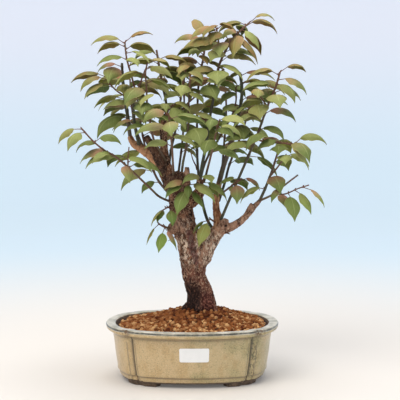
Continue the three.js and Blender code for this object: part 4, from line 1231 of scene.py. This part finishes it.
# Heights to look down from: over everything, and just under the foot of the limbs
OVER_ALL = 200
UNDER_LIMBS = 101

# Where the soil was watered last
WATERED, WATERED_REACH = Vector((12, 18, 95)), 45


def lump():
    """A rounded lump of 24 faces, 1 in radius."""
    bm = bmesh.new()
    bmesh.ops.create_cube(bm, size=2)
    bmesh.ops.subdivide_edges(bm, edges=bm.edges, cuts=1, use_grid_fill=True)
    for v in bm.verts:
        v.co = v.co.normalized().lerp(v.co, 0.12)
    return new_object("lump", bm)


def packed_mesh(node):
    """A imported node's faces to drop things on, in mm."""
    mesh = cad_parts[node].data
    places = [v.co / MM for v in mesh.vertices]
    return BVHTree.FromPolygons(places, [p.vertices for p in mesh.polygons])


def at_edge(inset):
    """1 beside the pot's inner wall, and 0 well away from it."""
    return soft_step(36, WALL_INSET + 2, inset)


def grain_places(rng):
    """Where grains lie: a jittered honeycomb inside the rim, dropped on the packed soil."""
    ground, wood = packed_mesh("soil"), packed_mesh("trunk")
    places = []
    row_step = GRAIN_SPACING * math.sqrt(3) / 2
    for row in range(-int(HALF_WIDTH / row_step), int(HALF_WIDTH / row_step) + 1):
        for column in range(-int(HALF_LENGTH / GRAIN_SPACING), int(HALF_LENGTH / GRAIN_SPACING) + 1):
            jitter = [rng.uniform(-JITTER, JITTER) * GRAIN_SPACING for _ in range(2)]
            x = (column + 0.5 * (row % 2)) * GRAIN_SPACING + jitter[0]
            y = row * row_step + jitter[1]
            size = rng.uniform(*GRAIN_SIZES)
            inset = rim_reach(first_quarter(math.atan2(y, x))) - math.hypot(x, y)
            lift = rng.uniform(*GRAIN_LIFT) - EDGE_SINK * at_edge(inset)
            if inset < WALL_INSET + size:
                continue
            hit = ground.ray_cast(Vector((x, y, OVER_ALL)), Vector((0, 0, -1)))[0]
            if hit is None:
                continue
            spot = Vector((x, y, hit.z + lift * size))
            near, _, _, gap = wood.find_nearest(spot)
            inside = wood.ray_cast(Vector((x, y, UNDER_LIMBS)), Vector((0, 0, -1)))[0]
            if inside is not None and inside.z > hit.z + WOOD_OVER and gap > WOOD_GAP:
                continue
            places.append((spot, size, at_edge(inset)))
    return places


def make_granules():
    rng = random.Random(GRAIN_SEED)
    places = grain_places(rng)
    one = lump()
    copies = one.modifiers.new("copies", "ARRAY")
    copies.count = len(places)
    copies.use_relative_offset = False
    bm = applied(one)
    tone = bm.verts.layers.float.new("tone")
    bm.verts.ensure_lookup_table()
    for i, (spot, size, edge) in enumerate(places):
        stretch = Vector([rng.uniform(*GRAIN_STRETCH) for _ in range(3)])
        turn = Vector([rng.uniform(-1, 1) for _ in range(3)]).to_track_quat("Z", "Y")
        damp = WET_DARKER * hump((spot - WATERED).length, 0, WATERED_REACH)
        shade = min(max(rng.gauss(*GRAIN_SHADES) + EDGE_PALER * edge - damp, 0), 1)
        for v in bm.verts[i * GRAIN_VERTS : (i + 1) * GRAIN_VERTS]:
            rough = 1 + DENT_DEPTH * noise.noise(v.co * DENT_COUNT + Vector((i * 3.1, i * 1.7, 0)))
            v.co = spot + turn @ (v.co * stretch * size * rough)
            v[tone] = shade
    finished("soil_granules", bm, [baked_clay_grains()], sharp=50)


# The old wood

WOOD_VOXEL = 0.85
LIMB_SIDES = 28

# Swollen lumps and the scar of a cut branch, as (square, reach in mm, height in mm)
BURLS = [
    ((-20, 141, 8), 9, 2.8), ((-17, 148, 1), 6, 2.4), ((32, 143, 6), 7, 2.2), ((31, 150, 5), 5, 2.4),
    ((7, 178, 0), 8, 1.6), ((-4, 142, 3), 9, 1.2), ((4, 120, 6), 8, 1.2), ((-8, 160, 3), 7, 1.3),
    ((16, 124, 9), 7, 1.3), ((-17, 171, 6), 7, 1.2), ((-24, 184, 6), 8, 1.5), ((2, 93, 4), 9, 0.9),
]
SCAR = ((-15, 191, 0), 6.5)
SCAR_LIP, SCAR_DEPTH = 1.6, 2.6

# Rotted eyes in the knots, as (square, reach in mm, depth in mm)
EYES = [
    ((-18, 151, -4), 3.4, 3.4), ((-23, 147, -1), 2.6, 2.8), ((-11, 149, -4), 2.4, 2.4),
    ((34, 147, 1), 2.6, 2.6), ((-19, 143, -2), 2.2, 1.8), ((-7, 181, -6), 3, 2.2),
    ((-21, 176, -2), 2.6, 2), ((29, 139, 2), 2.2, 1.6),
]

# The strip of bare wood down the front, as the squares and half-widths in mm along it
TRUNK_DEPTH = 20
FAR_OFF = 9
BARE_STRIP = [((-4, 143), 5), ((-1.5, 134), 5), ((0.5, 125), 6), ((3, 116), 5.5), ((5, 108), 3)]

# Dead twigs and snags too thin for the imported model's trunk
TWIGS = [
    Stem(path=[(-20, 143, 6), (-27, 146, 3), (-33, 149, 1), (-34, 151, 0)], radius=[1.7, 1.3, 1.1, 0.9]),
    Stem(path=[(-14, 138, 8), (-19, 135, 4), (-24, 132, 1)], radius=[0.6, 0.45, 0.3]),
    Stem(path=[(31, 141, 6), (35, 140, 3), (38, 139, 1)], radius=[1.2, 0.9, 0.7]),
    Stem(path=[(47, 150, 1), (50, 155, -4), (55, 159, -8), (58, 162, -10)], radius=[0.9, 0.8, 0.7, 0.6]),
    Stem(path=[(2, 150, 6), (2.5, 153, 2), (3, 155, 0)], radius=[1.2, 1, 0.8]),
    Stem(path=[(5, 203, 2), (4, 207, 2), (1, 213, 1), (-1, 220, 0)], radius=[1.3, 1, 0.8, 0.6]),
]


WOOD_STEP = 2.5
POINT_STEP = 3
TWIG_SIDES, TWIG_ROWS = 8, 12
TWIG_GREYING = 0.35


def tapering(stem):
    """The radius of a twig, from one end of it to the other."""
    return lambda share, turn: along(stem.radius, share)


def bark_ridges(stem):
    """The radius of old wood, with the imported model's slow ridges."""

    def radius_at(share, turn):
        ridges = (
            math.sin(5 * turn + 9 * share) * 0.5
            + math.sin(3 * turn - 21 * share + 1) * 0.6
            + math.sin(7 * turn + 34 * share) * 0.4
        )
        return along(stem.radius, share) * (1 + stem.bark * ridges)

    return radius_at


# Old bark's relief: heights out from the wood and sizes, in mm
LUMP_HEIGHT, LUMP_SIZE = 1.5, 12
PLATE_WIDTH, PLATE_LENGTH = 4.2, 13
CRACK_DEPTH, CRACK_SHARE = 1.3, 0.11
SCALE_HEIGHT, SCALE_WIDTH, SCALE_LENGTH = 0.9, 2.6, 5
CRUMB_HEIGHT, CRUMB_SIZE = 0.35, 1.3


def bark_relief(spot, slim):
    """Old bark in mm out from the wood: lumps, plates parted by long cracks, scales and crumbs."""
    lumps = LUMP_HEIGHT * noise.noise(spot / LUMP_SIZE)
    plate = noise.noise(Vector((spot.x / PLATE_WIDTH, spot.y / PLATE_WIDTH, spot.z / PLATE_LENGTH)))
    crack = -CRACK_DEPTH * hump(plate, 0, CRACK_SHARE)
    scale = Vector((spot.x / SCALE_WIDTH, spot.y / SCALE_WIDTH, spot.z / SCALE_LENGTH))
    scales = SCALE_HEIGHT * noise.noise(scale + Vector((9, 3, 4)))
    crumbs = CRUMB_HEIGHT * noise.noise(spot / CRUMB_SIZE)
    return (lumps + crack + scales + crumbs) * slim


def remeshed_wood():
    """All the wood's limbs grown into one skin."""
    bm = bmesh.new()
    for stem in WOOD:
        curve = Curve(stem.path)
        rows = max(6, int(curve.length() / WOOD_STEP))
        grown_bar(bm, curve, bark_ridges(stem), LIMB_SIDES, rows)
    obj = new_object("wood", bm)
    skin = obj.modifiers.new("skin", "REMESH")
    skin.mode = "VOXEL"
    skin.voxel_size = WOOD_VOXEL
    smooth = obj.modifiers.new("smooth", "SMOOTH")
    smooth.factor = 0.5
    smooth.iterations = 3
    return applied(obj)


def nearest_wood():
    """A tree of points in the wood, with each one's radius and limb."""
    points = []
    for order, stem in enumerate(WOOD):
        curve = Curve(stem.path)
        steps = int(curve.length() / POINT_STEP)
        points += [(curve.at(i / steps), along(stem.radius, i / steps), order) for i in range(steps + 1)]
    tree = KDTree(len(points))
    for i, (spot, _, _) in enumerate(points):
        tree.insert(spot, i)
    tree.balance()
    return tree, points


def off_strip(spot, strip):
    """How many half-widths a spot on the front lies beside the strip of bare wood. FAR_OFF elsewhere."""
    for (low, low_width), (high, high_width) in zip(strip[1:], strip):
        if low[2] <= spot.z <= high[2] and spot.y < TRUNK_DEPTH:
            share = (spot.z - low[2]) / (high[2] - low[2])
            middle = low[0] + (high[0] - low[0]) * share
            return abs(spot.x - middle) / (low_width + (high_width - low_width) * share)
    return FAR_OFF


# How many points of the wood a spot's radius and limb are taken from
NEIGHBOURS = 3

# What a limb's bark is like, by its place in WOOD
ROSY_LIMBS = {1, 2, 3, 5, 10, 12}
RUDDY_LIMBS = {4, 6}
DEAD_LIMBS = {8, 9}


def make_trunk():
    """The wood with its bark raised, dented and marked for its looks, and its dead twigs. The numbers in
    the marks are the heights and distances in mm between which each look comes in or goes out."""
    bm = remeshed_wood()
    tree, points = nearest_wood()
    burls = [(Vector(seen(square)), reach, height) for square, reach, height in BURLS]
    scar, scar_reach = Vector(seen(SCAR[0])), SCAR[1]
    eyes = [(Vector(seen(square)), reach, depth) for square, reach, depth in EYES]
    strip = [(seen((*square, 0)), width) for square, width in BARE_STRIP]
    names = ("damp", "wet", "raw", "flaky", "bare", "rosy", "ruddy", "shaded_hollows_and_dead_wood", "cut")
    looks = [bm.verts.layers.float.new(name) for name in names]
    damp, wet, raw, flaky, bare, rosy, ruddy, shaded_hollows_and_dead_wood, cut = looks
    bm.normal_update()
    moved = []
    for v in bm.verts:
        spot = v.co.copy()
        near = [points[i] for _, i, _ in tree.find_n(spot, NEIGHBOURS)]
        radius = sum(p[1] for p in near) / NEIGHBOURS
        rosiness, ruddiness, deadness = [
            sum(p[2] in limbs for p in near) / NEIGHBOURS for limbs in (ROSY_LIMBS, RUDDY_LIMBS, DEAD_LIMBS)
        ]
        slim = min(1, 0.12 + radius / 13)
        relief = bark_relief(spot, slim)
        for middle, reach, height in burls:
            relief += height * hump((spot - middle).length, 0, reach)
        from_scar = (spot - scar).length
        relief += SCAR_LIP * hump(from_scar, scar_reach * 1.15, 2.2)
        relief -= SCAR_DEPTH * hump(from_scar, 0, scar_reach * 0.75)
        in_eye = 0
        for middle, reach, depth in eyes:
            near_eye = hump((spot - middle).length, 0, reach)
            relief -= depth * near_eye
            in_eye = max(in_eye, near_eye)
        moved.append((v, spot + v.normal * relief))
        upwards = spot.z + 6 * noise.noise(spot / 9)
        v[damp] = soft_step(168, 146, upwards)
        v[wet] = soft_step(146, 122, upwards + 0.5 * abs(spot.x + 3)) * soft_step(17, 8, spot.x) * 0.95
        v[raw] = soft_step(126, 108, upwards) * soft_step(9, 16, spot.x) * soft_step(36, 28, spot.x) * 0.8
        v[bare] = soft_step(1.15, 0.6, off_strip(spot, strip) + 0.25 * noise.noise(spot / 5)) * 0.85
        v[flaky] = soft_step(146, 164, upwards) * soft_step(228, 196, upwards) * soft_step(7, 11, radius)
        v[rosy] = rosiness * soft_step(150, 175, spot.z)
        v[ruddy] = ruddiness
        # Painted shade in the cracks and rotted eyes, and the darker dead wood
        crack_shade_and_dead = min(1, soft_step(-0.5, -1.4, relief) * 0.6 + deadness * 0.6)
        v[shaded_hollows_and_dead_wood] = max(crack_shade_and_dead, soft_step(0.25, 0.7, in_eye))
        v[cut] = soft_step(scar_reach, scar_reach * 0.6, from_scar)
    for v, spot in moved:
        v.co = spot
    before = set(bm.verts)
    for stem in TWIGS:
        grown_bar(bm, Curve(stem.path), tapering(stem), TWIG_SIDES, TWIG_ROWS)
    for v in bm.verts:
        if v not in before:
            v[shaded_hollows_and_dead_wood] = TWIG_GREYING
    finished("trunk_bark", bm, [old_bark()], ["trunk"])


# Where the leaves grow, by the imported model's own rule

STEM_STEP = 4
LEAF_CLEARANCE = 4.6
SAME_SHOOT_CLEARANCE = 3.6
STEM_CLEARANCE = 3
TURNS_TO_TRY = [0, 14, -14, 28, -28, 45, -45, 62, -62, 82, -82, 105, -105, 130, -130]
SIZES_TO_TRY = [1, 0.82, 0.66]
FIRST_SEED, SEED_STEP = 1000, 77
SAMPLE_SHARES = [step / MIDRIB_STEPS for step in range(1, MIDRIB_STEPS)]
SAMPLE_SIDES = (-0.95, -0.65, -0.32, 0, 0.32, 0.65, 0.95)

Leaf = namedtuple("Leaf", "foot heading length width stalk rise fall swing roll fold share")


def direction(heading, lift):
    flat = math.cos(math.radians(lift))
    turn = math.radians(heading)
    return np.array((flat * math.cos(turn), flat * math.sin(turn), math.sin(math.radians(lift))))


def half_width(share):
    """Half the blade's width at a share of its length, for a blade 1 wide."""
    if share in (0, 1):
        return 0
    return 0.5 * math.sin(math.pi * share**0.72) ** 0.8 * (1 - 0.35 * share**3)


def leaf_shape(foot, heading, hang, size, draw, share):
    length = LEAF_LENGTH * size * (0.78 + 0.4 * next(draw)) * (1 - 0.22 * share)
    return Leaf(
        foot=foot,
        heading=heading,
        length=length,
        width=length * LEAF_WIDTH * (0.9 + 0.2 * next(draw)),
        stalk=STALK_LENGTH * (0.7 + 0.6 * next(draw)),
        rise=10 + 30 * next(draw) - hang,
        fall=max(-88, -56 - 28 * next(draw) - hang),
        swing=40 * (next(draw) - 0.5),
        roll=50 * (next(draw) - 0.5),
        fold=16 + 18 * next(draw),
        share=share,
    )


def midrib(leaf):
    """Points along the midrib from the stalk's end to the tip, each with the directions to its left and
    out of the face."""
    spot = leaf.foot + direction(leaf.heading, min(leaf.rise, 40)) * leaf.stalk
    frames = []
    for i in range(MIDRIB_STEPS + 1):
        share = i / MIDRIB_STEPS
        heading = leaf.heading + leaf.swing * share
        forward = direction(heading, leaf.rise + (leaf.fall - leaf.rise) * share**0.85)
        level = direction(heading + 90, 0)
        up = np.cross(forward, level)
        roll = math.radians(leaf.roll)
        left = level * math.cos(roll) + up * math.sin(roll)
        frames.append((spot, left, np.cross(forward, left)))
        spot = spot + forward * (leaf.length / MIDRIB_STEPS)
    return frames


def samples_of(leaf):
    frames = midrib(leaf)
    fold = math.radians(leaf.fold)
    points = [frames[0][0], frames[MIDRIB_STEPS][0]]
    for share in SAMPLE_SHARES:
        spot, left, normal = frames[round(share * MIDRIB_STEPS)]
        for side in SAMPLE_SIDES:
            reach = half_width(share) * leaf.width * side
            points.append(spot + left * (reach * math.cos(fold)) - normal * (abs(reach) * math.sin(fold)))
    return np.array(points)


def stem_samples(shoot, stem):
    curve = Curve(stem.path)
    count = math.ceil(1.1 * np.linalg.norm(curve.at(1) - curve.at(0)) / STEM_STEP)
    return [(shoot, curve.at(i / count), along(stem.radius, i / count)) for i in range(count + 1)]


def is_clear(points, spots, clearances):
    if not len(spots):
        return True
    most = clearances.max()
    low, high = points.min(axis=0) - most, points.max(axis=0) + most
    near = ((spots >= low) & (spots <= high)).all(axis=1)
    gaps = ((points[:, None, :] - spots[None, near, :]) ** 2).sum(axis=2)
    return bool((gaps >= clearances[None, near] ** 2).all())


def tries_of(shape):
    """Every heading and size that a leaf may take, the wanted ones first."""
    for size in SIZES_TO_TRY:
        for turn in TURNS_TO_TRY:
            yield shape._replace(
                heading=shape.heading + turn, length=shape.length * size, width=shape.width * size
            )


def grow_leaves():
    """Sets every leaf where it grows. One that would touch another leaf or stem is turned until it is
    clear, is made smaller where no turn helps, and is left out where neither does."""
    stems = [sample for wood in WOOD for sample in stem_samples("wood", wood)]
    for name, parts in SHOOTS.items():
        stems += [sample for part in parts for sample in stem_samples(name, part)]
    stem_names = np.array([name for name, _, _ in stems])
    stem_spots = np.array([spot for _, spot, _ in stems])
    stem_radii = np.array([radius for _, _, radius in stems])
    taken, owners, grown = np.empty((0, 3)), np.empty(0, int), {}
    for order, (name, parts) in enumerate(SHOOTS.items()):
        draw = draws(FIRST_SEED + SEED_STEP * order)
        grown[name] = []
        stem_clear = stem_radii + np.where(stem_names == name, 1, STEM_CLEARANCE)
        for part in parts:
            curve = Curve(part.path)
            for share, heading, *rest in part.leaves:
                hang, size = (*rest, *(0, 1)[len(rest) :])
                shape = leaf_shape(curve.at(share), heading, hang, size, draw, share)
                leaf_clear = np.where(owners == order, SAME_SHOOT_CLEARANCE, LEAF_CLEARANCE).astype(float)
                for leaf in tries_of(shape):
                    points = samples_of(leaf)
                    if is_clear(points, taken, leaf_clear) and is_clear(points, stem_spots, stem_clear):
                        grown[name].append(leaf)
                        taken = np.vstack([taken, points])
                        owners = np.append(owners, [order] * len(points))
                        break
    return grown


# The leaves and shoots themselves

BLADE_ROWS = 14
BLADE_COLUMNS = 6
TAIL = 0.5
BLADE_FULLNESS = 1.1
RIPPLE, RIPPLE_RATE = 0.05, 15

# How far each half of a blade rises from its midrib before it arches over, as a share of its fold
ARCH_RISE = 0.35
ARCH_STEPS = 8

# Where leaves are young, and where they are painted deeper green low in the crown as shade: shares of the
# way along a shoot, and heights in mm
BRONZE_SHARES, BRONZE_HEIGHTS, CROWN_SHADE_HEIGHTS = (0.86, 1.0), (350, 480), (330, 200)

STALK_SIDES = 5
STALK_ROWS = 16
STALK_AGE = 0.05

# A stalk's radius at its start in mm, what it loses to its tip, how much it swells at its base, and over
# what share of its length
STALK_RADIUS, STALK_TAPER, STALK_SWELLING, STALK_BASE = 0.62, 0.42, 0.35, 0.05

# How far a stalk's middle lies under the blade that it runs on under
RIB_UNDER = 0.25

# A bud's lift from level in degrees, its girth, its length and how far out of the stem it starts
BUD_LIFT, BUD_GIRTH, BUD_LENGTH, BUD_OUT = 55, 0.95, 3.2, 0.6
BUD_SIDES, BUD_ROWS = 6, 3
BUD_AGE = 0.1

LOOKS_SEED = 7000
SHOOT_SIDES = 10
SHOOT_STEP = 1.6

# How much a stem swells where a leaf leaves it, and over what share of its length
SWELLING, SWELLING_REACH = 0.22, 0.012

# The radii in mm of a stem that is young all round and of one that is old
YOUNG_RADIUS, OLD_RADIUS = 0.9, 3.6


def blade_frame(frames, share):
    """The midrib's point and directions at any share of its length."""
    place = share * MIDRIB_STEPS
    before = min(int(place), MIDRIB_STEPS - 1)
    return [a + (b - a) * (place - before) for a, b in zip(frames[before], frames[before + 1])]


def arched(fold, side):
    """How far out and down a point lies that is a share of the way from the midrib to a leaf's edge.
    Each half rises a little from the midrib and then arches over, to end where a flat half would."""
    start = -ARCH_RISE * fold
    bend = 2 * (fold - start)
    out = down = 0
    for i in range(ARCH_STEPS):
        slope = start + bend * abs(side) * (i + 0.5) / ARCH_STEPS
        out += math.cos(slope) * abs(side) / ARCH_STEPS
        down += math.sin(slope) * abs(side) / ARCH_STEPS
    return math.copysign(out, side), down


def grow_blade(bm, leaf, layers, rng):
    """A blade as a grid of 6 by 14 faces, drawn in at its foot and tip and bent over its midrib."""
    frames = midrib(leaf)
    fold = math.radians(leaf.fold)
    grid = bmesh.ops.create_grid(
        bm, x_segments=BLADE_COLUMNS, y_segments=BLADE_ROWS, size=0.5, calc_uvs=True
    )
    bronze = soft_step(*BRONZE_SHARES, leaf.share + rng.uniform(-0.1, 0.06)) * rng.uniform(0.1, 0.75)
    bronze = max(bronze, soft_step(*BRONZE_HEIGHTS, leaf.foot[2]) * rng.uniform(-1.0, 0.95))
    # Painted shade, deeper green for leaves low in the crown
    crown_shade = soft_step(*CROWN_SHADE_HEIGHTS, leaf.foot[2]) * rng.uniform(0.1, 0.8)
    blush = max(0, rng.uniform(-1.3, 1.0))
    tone = rng.random()
    wave = rng.uniform(0, 6)
    for v in grid["verts"]:
        side, share = v.co.x * 2, v.co.y + 0.5
        spot, left, normal = blade_frame(frames, share)
        tail = 1 - TAIL * soft_step(0.62, 0.98, share)
        reach = half_width(share) * leaf.width * tail * BLADE_FULLNESS
        out, down = arched(fold, side)
        ripple = RIPPLE * reach * side * side * math.sin(wave + RIPPLE_RATE * share)
        v.co = spot + left * (reach * out) - normal * (reach * down - ripple)
        for look, value in (("bronze", bronze), ("blush", blush), ("tone", tone), ("crown_shade", crown_shade)):
            v[layers[look]] = value
    bmesh.ops.remove_doubles(bm, verts=grid["verts"], dist=1e-4)


def grow_stalk(bm, leaf):
    """The stalk, which runs on under the blade as its rib and dies away towards the tip."""
    frames = midrib(leaf)
    route = [leaf.foot, *[spot - normal * RIB_UNDER for spot, _, normal in frames[: MIDRIB_STEPS - 1]]]
    first = leaf.stalk
    step = leaf.length / MIDRIB_STEPS
    whole = first + step * (len(route) - 2)
    made = bar(bm, STALK_SIDES, STALK_ROWS)
    across = direction(leaf.heading + 90, 0)
    for v in made:
        share, side, front = v.co.z + 0.5, v.co.x, -v.co.y
        gone = share * whole
        place = gone / first if gone < first else 1 + (gone - first) / step
        before = min(int(place), len(route) - 2)
        spot = route[before] + (route[before + 1] - route[before]) * (place - before)
        forward = unit(route[before + 1] - route[before])
        left = unit(np.cross(across, forward))
        up = np.cross(left, forward)
        r = STALK_RADIUS - STALK_TAPER * share + STALK_SWELLING * hump(share, 0, STALK_BASE)
        v.co = spot + left * (side * r) + up * (front * r)


def grow_bud(bm, leaf, age_layer):
    """A pointed bud in the corner between a stalk and its stem."""
    toward = unit(direction(leaf.heading, BUD_LIFT))
    made = bar(bm, BUD_SIDES, BUD_ROWS)
    across = direction(leaf.heading + 90, 0)
    up = np.cross(across, toward)
    for v in made:
        share, side, front = v.co.z + 0.5, v.co.x, -v.co.y
        r = BUD_GIRTH * math.sin(math.pi * min(0.25 + 0.75 * share, 0.98)) ** 0.8
        along_bud = toward * (BUD_OUT + BUD_LENGTH * share)
        v.co = leaf.foot + along_bud + across * (side * r) + up * (front * r)
        v[age_layer] = BUD_AGE


def stem_radius(stem, feet):
    """A stem's radius: tapering, and swollen where each leaf leaves it."""

    def radius_at(share, turn):
        swelling = SWELLING * min(sum(hump(share, foot, SWELLING_REACH) for foot in feet), 1)
        return along(stem.radius, share) * (0.96 + swelling + 0.03 * math.sin(3 * turn))

    return radius_at


def make_shoot(name, parts, leaves, order, looks):
    """A shoot with its stems, buds and stalks, and its leaves as thin closed blades."""
    rng = random.Random(LOOKS_SEED + order)
    bm = bmesh.new()
    bm.loops.layers.uv.new("leaf")
    layers = {n: bm.verts.layers.float.new(n) for n in ("tone", "bronze", "blush", "crown_shade", "age")}
    for leaf in leaves:
        grow_blade(bm, leaf, layers, rng)
    blades = bm.faces[:]
    for face in blades:
        face.material_index = 1
    bm.normal_update()
    shell = bmesh.ops.solidify(bm, geom=blades, thickness=LEAF_THICKNESS)["geom"]
    for face in of_kind(bmesh.types.BMFace, shell):
        face.material_index = 2
    leafy = set(bm.verts)
    for leaf in leaves:
        grow_stalk(bm, leaf)
        grow_bud(bm, leaf, layers["age"])
    stalks = set(bm.verts) - leafy
    for stem in parts:
        curve = Curve(stem.path)
        feet = [leaf[0] for leaf in stem.leaves]
        rows = max(8, int(curve.length() / SHOOT_STEP))
        made = grown_bar(bm, curve, stem_radius(stem, feet), SHOOT_SIDES, rows)
        for v, share in made:
            v[layers["age"]] = soft_step(YOUNG_RADIUS, OLD_RADIUS, along(stem.radius, share))
    for v in stalks:
        v[layers["age"]] = max(v[layers["age"]], STALK_AGE)
    finished(f"leafy_{name}", bm, looks, [f"shoot_{name}"], sharp=60)


# The studio

FLOOR_RADIUS = 2600
WALL_RADIUS = 1600
FLOOR_TURNS = 96
WALL_ROWS = 16

# What the lamps face, in m
LIT_SPOT = Vector((0, 0, 0.22))


def studio_paper():
    """Seamless background paper, matt: warm white underfoot, turning pale blue and then lavender behind.
    It glows as painted light, faintly underfoot and more the further out it lies."""
    m = new_material("background_paper")
    place = add(m, "TexCoord")
    flat = add(m, "CombineXYZ", add(m, "SeparateXYZ", place), add(m, "SeparateXYZ", place, out="Y"))
    away = add(m, "VectorMath", flat, operation="LENGTH", out="Value")
    colour = add(m, "Mix", add(m, "MapRange", away, 0.3, 1.5), "#D9D4CE", "#C5D5DF")
    upwards = add(m, "MapRange", add(m, "SeparateXYZ", place, out="Z"), 0.05, 0.8)
    colour = add(m, "Mix", upwards, colour, "#D3D6DF")
    # Painted light: the paper glows, faintly underfoot and more strongly further out
    skin = add(m, "BsdfPrincipled", sockets={
        "Base Color": colour, "Roughness": 0.95, "Specular IOR Level": 0.1,
        "Emission Color": colour, "Emission Strength": add(m, "MapRange", away, 0.1, 3.0, 0.12, 0.52),
    })
    add(m, "OutputMaterial", skin)
    return m


def make_studio():
    """A round floor that curves up into a wall all round."""
    bm = bmesh.new()
    profile = [(0, 0, 0), (FLOOR_RADIUS / 3, 0, 0)]
    for i in range(WALL_ROWS + 1):
        turn = 0.5 * math.pi * i / WALL_ROWS
        out = FLOOR_RADIUS + WALL_RADIUS * math.sin(turn)
        profile.append((out, 0, WALL_RADIUS * (1 - math.cos(turn))))
    wire(bm, profile)
    bmesh.ops.spin(
        bm, geom=bm.verts[:] + bm.edges[:], cent=(0, 0, 0), axis=(0, 0, 1),
        angle=2 * math.pi, steps=FLOOR_TURNS, use_merge=True,
    )
    bmesh.ops.remove_doubles(bm, verts=bm.verts, dist=1e-3)
    bmesh.ops.recalc_face_normals(bm, faces=bm.faces)
    bmesh.ops.scale(bm, vec=(MM, MM, MM), verts=bm.verts)
    floor = new_object("studio_floor", bm)
    floor.data.materials.append(studio_paper())
    floor.data.shade_smooth()


def softbox(name, place, size, power, colour):
    lamp = bpy.data.lights.new(name, "AREA")
    lamp.size = size
    lamp.energy = power
    lamp.color = linear(colour)[:3]
    obj = bpy.data.objects.new(name, lamp)
    bpy.context.collection.objects.link(obj)
    obj.location = place
    obj.rotation_mode = "QUATERNION"
    obj.rotation_quaternion = (Vector(place) - LIT_SPOT).to_track_quat("Z", "Y")


def light_studio():
    world = bpy.data.worlds.new("studio_air")
    world.use_nodes = True
    world.node_tree.nodes["Background"].inputs["Color"].default_value = linear("#EEF3FB")
    world.node_tree.nodes["Background"].inputs["Strength"].default_value = 0.35
    bpy.context.scene.world = world
    softbox("key_softbox", (-1.0, -1.4, 2.3), 1.7, 50, "#FFF8EE")
    softbox("fill_softbox", (1.8, -1.2, 1.3), 1.4, 8, "#EAF2FF")
    softbox("top_softbox", (0.2, 0.2, 2.6), 1.6, 42, "#FFFFFF")


def place_camera():
    camera = bpy.data.objects.new("camera", bpy.data.cameras.new("camera"))
    bpy.context.collection.objects.link(camera)
    camera.location = [c * MM for c in EYE]
    camera.rotation_euler = (math.pi / 2 - LOOK_DOWN, 0, 0)
    camera.data.angle = 2 * math.atan(DRAWING_SIZE / 2 * SQUARE)
    bpy.context.scene.camera = camera
    bpy.context.scene.view_settings.view_transform = "Standard"


# Putting it together


def main():
    place_camera()
    make_pot()
    make_label()
    make_granules()
    make_trunk()
    skins = [
        young_bark(),
        leaf_skin("leaf_upper_face", "#8E9142", "#4F6228", "#707A34", 0.45),
        leaf_skin("leaf_underside", "#969A5A", "#667238", "#7B8446", 0.65),
    ]
    grown = grow_leaves()
    for order, (name, parts) in enumerate(SHOOTS.items()):
        make_shoot(name, parts, grown[name], order, skins)
    for node, material in (
        ("soil", damp_soil_and_gap_shade()), ("drain_screen_left", drain_mesh()), ("drain_screen_right", drain_mesh())
    ):
        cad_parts[node].data.materials.clear()
        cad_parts[node].data.materials.append(material)
    make_studio()
    light_studio()


main()
